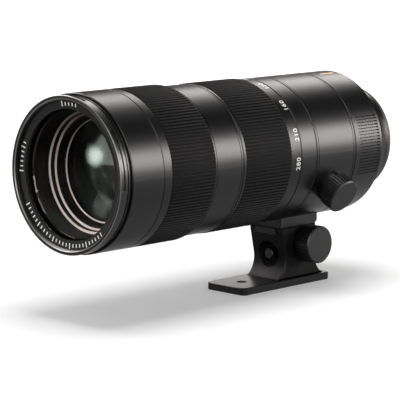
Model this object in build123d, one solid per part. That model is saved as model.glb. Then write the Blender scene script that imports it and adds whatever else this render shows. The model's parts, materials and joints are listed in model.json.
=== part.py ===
# Camera zoom lens for a full-frame camera, in millimetres.
# The optical axis is the Y axis: the front glass looks towards -Y and the camera is on +Y.
# The origin is where the axis meets the bayonet flange, and +Z is up.
# Turns are in degrees about the optical axis, from the top (+Z) towards +X.
from build123d import *
import math
import os

# Lengths of the outer sections, from the bayonet flange forwards
neck_length = 21.25
rear_barrel_length = 24.45
collar_length = 35.0
index_ring_length = 13.2
scale_length = 8.9
zoom_grip_length = 37.9
zoom_lip_length = 2.1
middle_length = 23.0
focus_grip_length = 34.4
trim_length = 6.3
front_barrel_length = 23.3
front_ring_length = 8.2

# Main tube, and how far each outer surface stands out from it
tube_radius = 39.2
tube_wall = 2.0
barrel_height = 4.8
middle_height = 3.4
zoom_grip_height = 3.8
scale_height = 3.1
rear_height = 3.15
flange_inset = 8.4

# Walls, gaps and edges that several pieces share
shell_wall = 1.3
shell_land = 2.0
grip_thickness = 1.1
edge_bevel = 0.45
fit_gap = 0.05
running_gap = 0.07
slide_gap = 0.1
ring_gap = 0.25
cut_over = 1.0

# Front ring: filter thread inside, hood bayonet outside
thread_height = 1.8
front_rim_width = 2.27
thread_length = 2.2
rim_chamfer = 0.5
seat_step = 0.4
hood_groove_depth = 0.8
hood_lip_length = 4.6
hood_rim_length = 0.9
hood_ridge_inset = 1.5
hood_ridge_width = 0.5
hood_ridge_height = 0.45
hood_strip_width = 1.0
hood_strip_height = 0.5
hood_entry_turns = ((-18.0, 18.8), (50.0, 96.0), (162.0, 198.8), (230.0, 276.0))

# Name ring
name_ring_width = 5.3
name_funnel = 0.5
name_lip = 0.5
name_ring_depth = 2.4

# Front group
front_cell_flange_length = 6.2
front_cell_length = 27.3
front_glass_inset = 0.55
front_glass_edge = 4.8
front_glass_bulge = 2.4
front_glass_hollow = 2.0
front_glass_setback = 0.6
front_seat_lip = 1.6
ledge_wall = 3.6
ledge_width = 1.5
first_ledge_depth = 11.1
second_ledge_step = 3.0
second_glass_inset = 6.85
second_glass_edge = 5.0
second_glass_bulge = 3.2
second_seat_lip = 1.8
second_seat_length = 2.0
front_cell_land = 3.0
front_cell_wall = 2.6
retainer_length = 2.4

# Zoom drive: guide tube, cam tube and key
zoom_turn = 94.4
zoom_land = 4.0
relief_gap = 0.3
cam_wall = 1.5
cam_land = 4.0
guide_length = 107.4
guide_wall = 1.5
guide_flange_length = 3.0
roller_radius = 2.0
roller_sink = 2.2
slot_gap = 0.15
roller_turns = (0.0, 120.0, 240.0)
key_width = 5.0
key_length = 6.0
key_turn = 47.2
key_step = 9.2
key_land = 9.0
key_sink = 1.7

# Moving groups: variator and compensator
variator_travel = 40.0
variator_setback = 6.0
variator_length = 14.0
variator_glass_inset = 11.46
variator_glass_edge = 7.0
variator_glass_hollow = 1.6
compensator_travel = 14.0
compensator_setback = 8.0
compensator_length = 12.0
compensator_glass_inset = 13.46
compensator_glass_edge = 4.5
compensator_glass_bulge = 2.2
cell_rim_wall = 4.0
cell_hub_wall = 2.2
cell_web = 3.0
cell_lip = 1.2
cell_lip_length = 1.5

# Iris
blade_count = 7
iris_open_inset = 21.15
iris_plate = 1.4
iris_rim = 2.0
iris_ring_width = 6.0
iris_ring_length = 1.3
iris_gap = 0.2
blade_level = 0.25
blade_thickness = 0.15
blade_pivot_inset = 11.15
blade_drive_arm = 6.0
blade_swing_turn = 40.0
blade_root_radius = 3.4
blade_ear_radius = 1.6
blade_pin_radius = 0.6
blade_pin_depth = 0.9
blade_band_inset = 0.4
blade_band_width = 7.4
blade_arc_turn = 72.0

# Focus group
rod_radius = 1.5
rod_seat = 1.0
rod_circle_inset = 7.65
rod_turns = (90.0, 270.0)
screw_turn = 180.0
screw_radius = 1.6
focus_setback = 5.0
focus_length = 9.0
focus_web = 3.0
focus_boss_wall = 1.7
focus_web_margin = 0.8
focus_glass_inset = 20.15
focus_glass_edge = 4.0
focus_glass_bulge = 1.5
motor_radius = 5.5
motor_length = 14.0
motor_socket = 4.0

# Rear group and circuit board
rear_flange_length = 2.5
rear_flange_ahead = 0.3
rear_cell_inset = 15.15
rear_cell_length = 30.0
rear_glass_inset = 3.6
rear_glass_edge = 18.0
rear_glass_bulge = 1.2
rear_seat_lip = 1.2
rear_seat_length = 2.0
rear_wall = 2.0
board_thickness = 1.6
board_width = 15.2

# Ribbed panels on the rear barrel, and the thin turned lines near the section ends
panel_turns = (62.5, 111.5)
panel_front_inset = 3.7
panel_rear_inset = 2.3
panel_grooves = 20
panel_groove_width = 0.9
panel_groove_depth = 0.5
line_width = 0.35
line_depth = 0.3
line_inset = 1.6

# Neck and bayonet
neck_inset = 4.75
neck_straight = 1.6
neck_hollow = 1.4
neck_wall = 3.4
neck_end_step = 1.1
neck_end_wall = 5.0
plate_thickness = 3.0
spigot_inset = 5.2
spigot_wall = 1.2
spigot_length = 4.6
lug_height = 1.8
lug_start = 2.0
lug_length = 1.5
lug_turn = 50.0
lug_turns = (20.0, 140.0, 260.0)
seal_length = 2.2
mount_screw_count = 6
mount_screw_inset = 2.0
mount_shank_radius = 0.85
mount_head_radius = 1.5
mount_head_length = 1.2
mount_head_sink = 0.15
mount_screw_depth = 5.0
baffle_thickness = 1.4
baffle_overlap = 2.0
baffle_window_share = 0.7
baffle_aspect_share = 0.68
contact_block_width = 5.5
contact_block_gap = 0.3
contact_block_end = 4.0
contact_block_turn = 62.0
contact_count = 10
contact_turn_middle = 180.0
contact_step_turn = 5.6
contact_radius = 0.55
contact_length = 3.4
contact_proud = 0.4

# Collar, its rail and its clamp
collar_land = 6.0
collar_relief = 0.35
rail_half_width = 13.0
rail_front_inset = 2.7
rail_rear_inset = 0.5
rail_sink = 0.2
rail_drop = 2.85
rail_inset = 1.0
rail_step = 1.2
dovetail_half_width = 7.0
dovetail_extra_width = 2.0
dovetail_depth = 4.1
clamp_turn = 117.6
clamp_setback = 17.5
clamp_knob_radius = 10.6
clamp_knob_length = 9.2
clamp_boss_radius = 9.8
clamp_boss_height = 2.25
clamp_stem_reach = 4.1
clamp_neck = 0.55
shoe_radius = 4.0
shoe_thickness = 1.8
shoe_lift = 0.6
shoe_bore = 1.4
stem_radius = 2.0

# Foot
foot_height = 30.65
foot_half_width = 13.03
foot_waist_inset = 3.7
foot_waist_drop = 17.2
foot_toe_reach = 2.0
foot_edge = 0.8
foot_top_rear_inset = 0.8
foot_heel_reach = 7.3
foot_heel_drop = 19.5
foot_plate_thickness = 4.51
plate_front_reach = 32.57
plate_half_width = 15.3
plate_rear_reach = 3.78
plate_corner = 3.2
plate_edge = 0.4
tripod_hole_radius = 3.175
tripod_hole_inset = 14.6
plate_screw_insets = (10.0, 28.0)
plate_screw_radius = 2.0
plate_head_radius = 3.8
plate_head_length = 2.2
plate_head_sink = 0.3
plate_screw_length = 10.0

# Foot clamp
foot_knob_inset = 21.5
foot_knob_drop = 10.7
foot_knob_radius = 11.2
foot_knob_length = 10.4
foot_knob_neck = 1.2
foot_knob_neck_radius = 6.0
foot_stem_reach = 7.0
knob_gap = 0.15
knob_bevel = 0.7
knurl_count = 36
knurl_radius = 0.45
jaw_inner = 6.6
jaw_outer = 11.0
jaw_half_length = 5.5
jaw_drop = 4.0
jaw_travel = 0.8

# Release button
button_drop = 16.8
recess_radius = 8.0
recess_floor_radius = 6.0
recess_depth = 4.9
button_radius = 3.2
button_proud = 5.4
button_length = 11.8
button_chamfer = 0.4
spring_radius = 2.6
spring_wire = 0.3
spring_turns = 5
spring_length = 6.0

# Stations of the outer sections along the axis
neck_front = -neck_length
collar_rear = neck_front - rear_barrel_length
collar_front = collar_rear - collar_length
scale_rear = collar_front - index_ring_length
zoom_grip_rear = scale_rear - scale_length
zoom_grip_front = zoom_grip_rear - zoom_grip_length
middle_rear = zoom_grip_front - zoom_lip_length
focus_rear = middle_rear - middle_length
focus_front = focus_rear - focus_grip_length
trim_front = focus_front - trim_length
barrel_front = trim_front - front_barrel_length
front_face = barrel_front - front_ring_length

# Outer radii
barrel_radius = tube_radius + barrel_height
middle_radius = tube_radius + middle_height
zoom_grip_radius = tube_radius + zoom_grip_height
scale_radius = tube_radius + scale_height
rear_radius = tube_radius + rear_height
flange_radius = tube_radius - flange_inset
thread_radius = tube_radius + thread_height
front_radius = thread_radius + front_rim_width
name_inner_radius = thread_radius - name_ring_width
neck_radius = rear_radius - neck_inset

# Stations and radii inside the front
name_front = front_face + rim_chamfer + thread_length
name_rear = name_front + name_ring_depth
tube_front = name_rear + front_cell_flange_length
seat_radius = thread_radius + seat_step
tube_bore = tube_radius - tube_wall
core_radius = tube_bore - fit_gap
front_glass_radius = core_radius - front_glass_inset
second_glass_radius = core_radius - second_glass_inset
shell_bore = tube_radius + fit_gap
ring_bore = tube_radius + running_gap
front_glass_front = name_rear + front_glass_setback
front_seat = front_glass_front + front_glass_edge
front_cell_rear = tube_front + front_cell_length
second_seat = front_cell_rear - second_seat_length
retainer_rear = second_seat - second_glass_edge

# Stations and radii of the zoom drive
guide_rear = front_cell_rear + guide_length
cam_front = front_cell_rear + guide_flange_length + ring_gap
cam_rear = guide_rear - ring_gap
cam_radius = tube_bore - running_gap
cam_bore = cam_radius - relief_gap - cam_wall
guide_radius = cam_bore - relief_gap
guide_bore = guide_radius - guide_wall
cell_radius = guide_bore - running_gap
variator_glass_radius = cell_radius - variator_glass_inset
compensator_glass_radius = cell_radius - compensator_glass_inset
roller_tip = cam_radius - relief_gap
key_station = zoom_grip_front + key_step
zoom_core_radius = zoom_grip_radius - grip_thickness
variator_front = cam_front + variator_setback
compensator_front = guide_rear - compensator_setback - compensator_length

# Stations and radii of the iris, front to rear
iris_floor = guide_rear + iris_plate
blade_front = iris_floor + iris_gap
blade_rear = blade_front + blade_level * (blade_count - 1) + blade_thickness
iris_ring_front = blade_rear + iris_gap
iris_cap_front = iris_ring_front + iris_ring_length + iris_gap
iris_cap_rear = iris_cap_front + iris_plate
iris_open_radius = core_radius - iris_open_inset
blade_pivot_radius = core_radius - blade_pivot_inset
iris_bore = core_radius - iris_rim
iris_ring_radius = iris_bore - running_gap
blade_lean = math.radians(blade_swing_turn / 2)

# Stations and radii of the focus group, the rear group and the mount
rod_circle = core_radius - rod_circle_inset
focus_glass_radius = core_radius - focus_glass_inset
rear_cell_radius = core_radius - rear_cell_inset
rear_glass_radius = rear_cell_radius - rear_glass_inset
board_inner_radius = tube_radius - board_width
focus_cell_front = iris_cap_rear + focus_setback
rear_flange_front = collar_rear - rear_flange_ahead
rear_flange_rear = rear_flange_front + rear_flange_length
rear_cell_rear = rear_flange_front + rear_cell_length
rear_seat = rear_cell_rear - rear_seat_length
rear_wall_front = neck_front - rear_wall
tube_rear = rear_wall_front - board_thickness
neck_rear = -plate_thickness
spigot_radius = flange_radius - spigot_inset
mount_screw_circle = flange_radius - mount_screw_inset
neck_end_radius = flange_radius + neck_end_step
neck_end_bore = neck_end_radius - neck_end_wall
neck_bore = neck_radius - neck_wall
plate_bore = spigot_radius - spigot_wall
baffle_radius = plate_bore + baffle_overlap
baffle_window_width = plate_bore * 2 * baffle_window_share
baffle_window_height = baffle_window_width * baffle_aspect_share
contact_block_radius = plate_bore - contact_block_gap
contact_block_inner = contact_block_radius - contact_block_width
contact_circle = (contact_block_inner + contact_block_radius) / 2

# Stations and heights of the rail, the foot and their knobs
rail_front = collar_front + rail_front_inset
rail_rear = collar_rear - rail_rear_inset
rail_root = math.sqrt(rear_radius ** 2 - rail_half_width ** 2) - rail_sink
rail_floor = rear_radius + rail_drop
rail_bottom = rail_floor + rail_step
dovetail_bottom = rail_bottom + dovetail_depth
foot_top = rail_bottom + slide_gap
foot_bottom = foot_top + foot_height
foot_rear = rail_rear - foot_top_rear_inset
plate_front = rail_front - foot_toe_reach - plate_front_reach
plate_rear = foot_rear + foot_heel_reach + plate_rear_reach
clamp_station = collar_front + clamp_setback
clamp_boss_top = rear_radius + clamp_boss_height
foot_knob_station = rail_front + foot_knob_inset
foot_knob_height = foot_top + foot_knob_drop
button_height = foot_top + button_drop
recess_floor = rail_front + foot_waist_inset + recess_depth
button_front = recess_floor - button_proud
jaw_top = foot_top + slide_gap
groove_floor = dovetail_bottom + slide_gap

MIN_END = (Align.CENTER, Align.CENTER, Align.MIN)


def turned(*points):
    """Solid of revolution about the optical axis from (radius, station) points."""
    return revolve(make_face(Polyline(*points, close=True)), Axis.Y)


def tube(outer, inner, front, rear):
    """Plain tube along the optical axis."""
    return turned((inner, front), (outer, front), (outer, rear), (inner, rear))


def sleeve(outer, bore, front, rear, wall=shell_wall, land=shell_land):
    """Barrel shell: bevelled outer ends, a land at each end and a thin wall between."""
    hollow = outer - wall
    return turned((bore, front), (outer - edge_bevel, front), (outer, front + edge_bevel),
                  (outer, rear - edge_bevel), (outer - edge_bevel, rear), (bore, rear),
                  (bore, rear - land), (hollow, rear - land), (hollow, front + land),
                  (bore, front + land))


def turned_line(radius, station):
    """Cutter for a thin line turned into a barrel of this radius."""
    return tube(radius + cut_over, radius - line_depth, station, station + line_width)


def arc_block(inner, outer, front, rear, start, end):
    """Part of a tube between two turns."""
    outline = Polyline((inner, front), (outer, front), (outer, rear), (inner, rear), close=True)
    block = revolve(make_face(outline), Axis.Y, end - start)
    return Rot(0, start - 90, 0) * block


def lens(radius, clear, front, rear, front_bulge, rear_bulge):
    """Glass element with a flat seat outside the clear radius; a hollow is a negative bulge."""
    front_apex = (0, front - front_bulge)
    rear_apex = (0, rear + rear_bulge)
    outline = [
        TangentArc(front_apex, (clear, front), tangent=(1, 0)),
        Polyline((clear, front), (radius, front), (radius, rear), (clear, rear)),
        TangentArc(rear_apex, (clear, rear), tangent=(1, 0)),
        Line(rear_apex, front_apex),
    ]
    return revolve(make_face(outline), Axis.Y)


def outward(turn, station, radius):
    """Place whose +Z points away from the optical axis."""
    return Rot(0, turn, 0) * Pos(0, station, radius)


def rearward(x, station, z):
    """Place whose +Z points along the optical axis towards the camera."""
    return Pos(x, station, z) * Rot(-90, 0, 0)


def around(circle, turn, station):
    """Rearward place on a circle about the optical axis."""
    return Rot(0, turn, 0) * rearward(0, station, circle)


def bar(radius, length):
    """Round bar from its place along +Z."""
    return Cylinder(radius, length, align=MIN_END)


def profile_along_axis(points, front, rear):
    """Solid with an outline of (x, z) points between two stations."""
    outline = Polyline(*[(x, front, z) for x, z in points], close=True)
    return extrude(make_face(outline), amount=rear - front, dir=(0, 1, 0))


def radial_slot(half_width, first, last, inner, outer, turn):
    """Cutter for a slot along the axis through a tube wall, with round ends."""
    height = outer - inner
    ends = [outward(turn, station, inner) * bar(half_width, height) for station in (first, last)]
    middle = outward(turn, (first + last) / 2, (inner + outer) / 2)
    return middle * Box(half_width * 2, last - first, height) + ends


def helical_slot(half_width, first, last, inner, outer, turn):
    """Cutter for a cam slot that runs from first to last while the turn grows by zoom_turn."""
    rise = abs(last - first)
    path = Helix(rise * 360 / zoom_turn, rise, (inner + outer) / 2)
    place = Plane(origin=path @ 0, x_dir=(1, 0, 0), z_dir=path % 0)
    groove = sweep(place * Rectangle(outer - inner, half_width * 2), path, is_frenet=True)
    groove = rearward(0, 0, 0) * groove
    if last < first:
        groove = mirror(groove, about=Plane.XZ)
    cutter = Rot(0, turn - 90, 0) * Pos(0, first, 0) * groove
    end = bar(half_width + running_gap, outer - inner)
    first_end = outward(turn, first, inner) * end
    last_end = outward(turn + zoom_turn, last, inner) * end
    return cutter + [first_end, last_end]


def front_ring():
    """Filter thread inside, hood bayonet with entry windows outside."""
    lip_end = front_face + hood_lip_length
    groove = front_radius - hood_groove_depth
    ring = turned((thread_radius + rim_chamfer, front_face), (front_radius - edge_bevel, front_face),
                  (front_radius, front_face + edge_bevel), (front_radius, lip_end),
                  (groove, lip_end), (groove, barrel_front), (seat_radius, barrel_front),
                  (seat_radius, name_front), (thread_radius, name_front),
                  (thread_radius, front_face + rim_chamfer))
    ridge_rear = barrel_front - hood_ridge_inset
    ridge = tube(groove + hood_ridge_height, seat_radius, ridge_rear - hood_ridge_width, ridge_rear)
    ring += ridge
    for start, end in hood_entry_turns:
        ring -= arc_block(groove, front_radius + cut_over, front_face + hood_rim_length, lip_end,
                          start, end)
        ring += arc_block(seat_radius, groove + hood_strip_height, lip_end - hood_strip_width,
                          lip_end, start, end)
    return ring


def name_ring():
    outer = seat_radius - fit_gap
    inner_front = name_front + name_funnel
    return turned((outer, name_front), (name_inner_radius, inner_front),
                  (name_inner_radius, inner_front + name_lip),
                  (front_glass_radius + fit_gap, front_glass_front - slide_gap),
                  (front_glass_radius + fit_gap, name_rear), (outer, name_rear))


def front_cell():
    """Holds both front elements; two ledges show as rings behind the front glass."""
    wall_radius = core_radius - ledge_wall
    step_radius = wall_radius - ledge_width
    second_bore = second_glass_radius + fit_gap
    first_ledge = front_seat + first_ledge_depth
    second_ledge = first_ledge + second_ledge_step
    front_bore = front_glass_radius + fit_gap
    seat_bore = front_glass_radius - front_seat_lip
    rear_bore = second_glass_radius - second_seat_lip
    relief_radius = second_bore + front_cell_wall
    relief_front = second_ledge
    relief_rear = front_cell_rear - front_cell_land
    return turned((front_bore, name_rear), (seat_radius - fit_gap, name_rear),
                  (seat_radius - fit_gap, tube_front), (core_radius, tube_front),
                  (core_radius, relief_front), (relief_radius, relief_front),
                  (relief_radius, relief_rear), (core_radius, relief_rear),
                  (core_radius, front_cell_rear), (rear_bore, front_cell_rear),
                  (rear_bore, second_seat), (second_bore, second_seat),
                  (second_bore, second_ledge), (step_radius, second_ledge),
                  (step_radius, first_ledge), (wall_radius, first_ledge),
                  (seat_bore, front_seat), (front_bore, front_seat))


def front_element():
    return lens(front_glass_radius, front_glass_radius - front_seat_lip, front_glass_front,
                front_seat, front_glass_bulge, -front_glass_hollow)


def second_element():
    return lens(second_glass_radius, second_glass_radius - second_seat_lip, retainer_rear,
                second_seat, second_glass_bulge, second_glass_bulge)


def front_retainer():
    return tube(second_glass_radius, second_glass_radius - second_seat_lip,
                retainer_rear - retainer_length, retainer_rear)


def front_barrel():
    hollow = barrel_radius - shell_wall
    return turned((seat_radius, barrel_front), (barrel_radius - edge_bevel, barrel_front),
                  (barrel_radius, barrel_front + edge_bevel), (barrel_radius, trim_front - edge_bevel),
                  (barrel_radius - edge_bevel, trim_front), (shell_bore, trim_front),
                  (shell_bore, trim_front - shell_land), (hollow, trim_front - shell_land),
                  (hollow, tube_front + shell_land), (shell_bore, tube_front + shell_land),
                  (shell_bore, tube_front), (seat_radius, tube_front))


def front_trim_ring():
    return sleeve(barrel_radius, shell_bore, trim_front, focus_front)


def main_tube():
    """Backbone tube, with the slot in which the drive key swings."""
    half_turn = math.degrees(math.asin((key_width / 2 + slot_gap) / tube_bore))
    half_length = key_length / 2 + slot_gap
    slot = arc_block(tube_bore - cut_over, tube_radius + cut_over, key_station - half_length,
                     key_station + half_length, key_turn - zoom_turn - half_turn,
                     key_turn + half_turn)
    return tube(tube_radius, tube_bore, tube_front, tube_rear) - slot


def focus_ring():
    return sleeve(barrel_radius - grip_thickness, ring_bore, focus_front + ring_gap,
                  focus_rear - ring_gap, land=zoom_land)


def focus_grip():
    return tube(barrel_radius, barrel_radius - grip_thickness + fit_gap, focus_front + ring_gap,
                focus_rear - ring_gap)


def middle_barrel():
    shell = sleeve(middle_radius, shell_bore, focus_rear, middle_rear)
    shell -= turned_line(middle_radius, focus_rear + line_inset)
    return shell - turned_line(middle_radius, middle_rear - line_inset - line_width)


def zoom_ring():
    """Ring with a front lip, a seat for the rubber and the scale band behind it."""
    front = middle_rear + ring_gap
    rear = scale_rear - ring_gap
    hollow = zoom_core_radius - shell_wall
    key_bore = tube_radius + relief_gap
    key_front = key_station - key_land / 2
    key_rear = key_station + key_land / 2
    ring = turned((ring_bore, front), (middle_radius - edge_bevel, front),
                  (middle_radius, front + edge_bevel), (middle_radius, zoom_grip_front),
                  (zoom_core_radius, zoom_grip_front), (zoom_core_radius, zoom_grip_rear),
                  (scale_radius, zoom_grip_rear), (scale_radius, rear - edge_bevel),
                  (scale_radius - edge_bevel, rear), (ring_bore, rear),
                  (ring_bore, rear - zoom_land), (hollow, rear - zoom_land), (hollow, key_rear),
                  (key_bore, key_rear), (key_bore, key_front), (hollow, key_front),
                  (hollow, front + zoom_land), (ring_bore, front + zoom_land))
    pocket = outward(key_turn, key_station, tube_radius + key_sink / 2) * Box(
        key_width + fit_gap * 2, key_length + fit_gap * 2, key_sink + fit_gap * 2)
    return ring - pocket


def zoom_grip():
    return tube(zoom_grip_radius, zoom_core_radius + fit_gap, zoom_grip_front, zoom_grip_rear)


def drive_key():
    """Block that carries the zoom ring's turn through the main tube to the cam tube."""
    inner = cam_bore + fit_gap
    outer = tube_radius + key_sink
    return outward(key_turn, key_station, (inner + outer) / 2) * Box(
        key_width, key_length, outer - inner)


def cam_tube():
    """Turning tube with three cam slots for each moving group, cut before it is put in place."""
    length = cam_rear - cam_front
    relief = cam_radius - relief_gap
    barrel = turned((cam_bore, 0), (cam_radius, 0), (cam_radius, cam_land), (relief, cam_land),
                    (relief, length - cam_land), (cam_radius, length - cam_land),
                    (cam_radius, length), (cam_bore, length))
    half_width = roller_radius + slot_gap
    inner = cam_bore - cut_over
    outer = cam_radius + cut_over
    variator_station = variator_front + variator_length / 2 - cam_front
    compensator_station = compensator_front + compensator_length / 2 - cam_front
    for turn in roller_turns:
        barrel -= helical_slot(half_width, variator_station, variator_station + variator_travel,
                               inner, outer, turn)
        barrel -= helical_slot(half_width, compensator_station,
                               compensator_station - compensator_travel, inner, outer, turn)
    window = Box(key_width + fit_gap * 2, key_length + fit_gap * 2, outer - inner)
    barrel -= outward(key_turn, key_station - cam_front, (inner + outer) / 2) * window
    return Pos(0, cam_front, 0) * barrel


def guide_tube():
    """Fixed tube whose straight slots keep the moving groups from turning."""
    flange_rear = front_cell_rear + guide_flange_length
    guide = turned((guide_bore, front_cell_rear), (core_radius, front_cell_rear),
                   (core_radius, flange_rear), (guide_radius, flange_rear),
                   (guide_radius, guide_rear), (guide_bore, guide_rear))
    half_width = roller_radius + slot_gap
    inner = guide_bore - cut_over
    outer = guide_radius + cut_over
    variator_station = variator_front + variator_length / 2
    compensator_station = compensator_front + compensator_length / 2
    for turn in roller_turns:
        guide -= radial_slot(half_width, variator_station - slot_gap,
                             variator_station + variator_travel + slot_gap, inner, outer, turn)
        guide -= radial_slot(half_width, compensator_station - compensator_travel - slot_gap,
                             compensator_station + slot_gap, inner, outer, turn)
    return guide


def moving_cell(front, length, glass_radius):
    """Cell that slides in the guide tube: outer rim, thin web and glass hub."""
    rear = front + length
    rim_bore = cell_radius - cell_rim_wall
    hub = glass_radius + cell_hub_wall
    bore = glass_radius + fit_gap
    web_front = front + (length - cell_web) / 2
    web_rear = web_front + cell_web
    seat = rear - cell_lip_length
    cell = turned((bore, front), (hub, front), (hub, web_front), (rim_bore, web_front),
                  (rim_bore, front), (cell_radius, front), (cell_radius, rear), (rim_bore, rear),
                  (rim_bore, web_rear), (hub, web_rear), (hub, rear),
                  (glass_radius - cell_lip, rear), (glass_radius - cell_lip, seat), (bore, seat))
    for turn in roller_turns:
        hole = bar(roller_radius + fit_gap, roller_sink + cut_over)
        cell -= outward(turn, front + length / 2, cell_radius - roller_sink) * hole
    return cell


def rollers(front, length):
    """Three cam rollers of one moving cell."""
    base = cell_radius - roller_sink
    pin = bar(roller_radius, roller_tip - base)
    return Compound([outward(turn, front + length / 2, base) * pin for turn in roller_turns])


def variator_element():
    seat = variator_front + variator_length - cell_lip_length
    return lens(variator_glass_radius, variator_glass_radius - cell_lip, seat - variator_glass_edge,
                seat, -variator_glass_hollow, -variator_glass_hollow)


def compensator_element():
    seat = compensator_front + compensator_length - cell_lip_length
    return lens(compensator_glass_radius, compensator_glass_radius - cell_lip,
                seat - compensator_glass_edge, seat, compensator_glass_bulge,
                compensator_glass_bulge)


def blade_turn(index):
    return 360 * index / blade_count


def iris_base():
    """Cup with the pivot holes of the blades."""
    base = turned((iris_open_radius, guide_rear), (core_radius, guide_rear),
                  (core_radius, iris_cap_front), (iris_bore, iris_cap_front),
                  (iris_bore, iris_floor), (iris_open_radius, iris_floor))
    hole = bar(blade_pin_radius + slide_gap, blade_pin_depth + slide_gap + cut_over)
    for index in range(blade_count):
        base -= around(blade_pivot_radius, blade_turn(index),
                       iris_floor - blade_pin_depth - slide_gap) * hole
    return base


def flat_point(radius, turn):
    """Point in a blade's flat sheet, as seen from the front of the lens."""
    return (radius * math.sin(math.radians(turn)), -radius * math.cos(math.radians(turn)))


def drive_point():
    """Where the drive pin of the first blade stands when the iris is open."""
    return (-blade_drive_arm * math.sin(blade_lean),
            -blade_pivot_radius - blade_drive_arm * math.cos(blade_lean))


def iris_blade(index):
    """Curved blade on its own level, with a pivot pin in front and a drive pin behind."""
    inner = iris_open_radius + blade_band_inset
    outer = inner + blade_band_width
    middle = blade_arc_turn / 2
    band = make_face([
        ThreePointArc(flat_point(inner, 0), flat_point(inner, middle), flat_point(inner, blade_arc_turn)),
        Line(flat_point(inner, blade_arc_turn), flat_point(outer, blade_arc_turn)),
        ThreePointArc(flat_point(outer, blade_arc_turn), flat_point(outer, middle), flat_point(outer, 0)),
        Line(flat_point(outer, 0), flat_point(inner, 0)),
    ])
    pivot = (0, -blade_pivot_radius)
    drive = drive_point()
    root = Pos(*pivot) * Circle(blade_root_radius)
    ear = Pos(*drive) * Circle(blade_ear_radius)
    arm = make_hull(root.edges() + ear.edges())
    level = blade_front + blade_level * index
    blade = rearward(0, level, 0) * extrude(band + arm, amount=blade_thickness)
    pivot_start = iris_floor - blade_pin_depth
    blade += rearward(pivot[0], pivot_start, -pivot[1]) * bar(
        blade_pin_radius, level + blade_thickness - pivot_start)
    drive_end = iris_ring_front + iris_ring_length - iris_gap
    blade += rearward(drive[0], level, -drive[1]) * bar(blade_pin_radius, drive_end - level)
    return Rot(0, blade_turn(index), 0) * blade


def iris_ring():
    """Turning ring whose short slots push the drive pins."""
    ring = tube(iris_ring_radius, iris_ring_radius - iris_ring_width, iris_ring_front,
                iris_ring_front + iris_ring_length)
    x, y = drive_point()
    far = blade_pivot_radius + blade_drive_arm
    near = math.hypot(x, y)
    lean = math.degrees(math.atan2(x, -y))
    half_width = blade_pin_radius + slide_gap
    for index in range(blade_count):
        place = Rot(0, blade_turn(index) + lean, 0)
        slot = Box(half_width * 2, iris_ring_length * 2 + cut_over, far - near)
        ring -= place * Pos(0, iris_ring_front, (far + near) / 2) * slot
        for radius in (near, far):
            ring -= place * rearward(0, iris_ring_front - cut_over, radius) * bar(
                half_width, iris_ring_length + cut_over * 2)
    return ring


def focus_shafts():
    """Circle, turn and radius of both rods and the lead screw."""
    return [(turn, rod_radius) for turn in rod_turns] + [(screw_turn, screw_radius)]


def iris_cap():
    """Rear wall of the iris, with blind seats for the focus rods and the lead screw."""
    cap = tube(core_radius, iris_open_radius, iris_cap_front, iris_cap_rear)
    for turn, radius in focus_shafts():
        cap -= around(rod_circle, turn, iris_cap_rear - rod_seat) * bar(
            radius + fit_gap, rod_seat + cut_over)
    return cap


def focus_cell():
    """Focus carriage that runs on two rods and is driven by the lead screw."""
    rear = focus_cell_front + focus_length
    hub = focus_glass_radius + cell_hub_wall
    bore = focus_glass_radius + fit_gap
    boss = screw_radius + focus_boss_wall
    web_radius = rod_circle + boss + focus_web_margin
    web_rear = focus_cell_front + focus_web
    seat = rear - cell_lip_length
    lip = focus_glass_radius - cell_lip
    cell = turned((bore, focus_cell_front), (web_radius, focus_cell_front), (web_radius, web_rear),
                  (hub, web_rear), (hub, rear), (lip, rear), (lip, seat), (bore, seat))
    for turn, radius in focus_shafts():
        cell += around(rod_circle, turn, focus_cell_front) * bar(boss, focus_length)
    for turn, radius in focus_shafts():
        cell -= around(rod_circle, turn, focus_cell_front - cut_over) * bar(
            radius + running_gap, focus_length + cut_over * 2)
    return cell


def focus_element():
    seat = focus_cell_front + focus_length - cell_lip_length
    return lens(focus_glass_radius, focus_glass_radius - cell_lip, seat - focus_glass_edge, seat,
                -focus_glass_bulge, focus_glass_bulge)


def focus_rods():
    start = iris_cap_rear - rod_seat
    rod = bar(rod_radius, rear_flange_front + rod_seat - start)
    return Compound([around(rod_circle, turn, start) * rod for turn in rod_turns])


def lead_screw():
    start = iris_cap_rear - rod_seat + slide_gap
    return around(rod_circle, screw_turn, start) * bar(
        screw_radius, rear_flange_rear + motor_socket - start)


def focus_motor():
    motor = around(rod_circle, screw_turn, rear_flange_rear) * bar(motor_radius, motor_length)
    return motor - around(rod_circle, screw_turn, rear_flange_rear) * bar(
        screw_radius + fit_gap, motor_socket + slide_gap)


def rear_cell():
    """Flanged tube for the rear element, with seats for the focus rods."""
    bore = rear_glass_radius + fit_gap
    lip = rear_glass_radius - rear_seat_lip
    cell = turned((bore, rear_flange_front), (core_radius, rear_flange_front),
                  (core_radius, rear_flange_rear), (rear_cell_radius, rear_flange_rear),
                  (rear_cell_radius, rear_cell_rear), (lip, rear_cell_rear), (lip, rear_seat),
                  (bore, rear_seat))
    for turn in rod_turns:
        cell -= around(rod_circle, turn, rear_flange_front - cut_over) * bar(
            rod_radius + fit_gap, rod_seat + cut_over)
    return cell - around(rod_circle, screw_turn, rear_flange_front - cut_over) * bar(
        screw_radius + running_gap, rear_flange_length + cut_over * 2)


def rear_element():
    return lens(rear_glass_radius, rear_glass_radius - rear_seat_lip, rear_seat - rear_glass_edge,
                rear_seat, rear_glass_bulge, rear_glass_bulge)


def circuit_board():
    return tube(tube_radius, board_inner_radius, tube_rear, rear_wall_front)


def index_ring():
    return sleeve(rear_radius, shell_bore, scale_rear, collar_front)


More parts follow.
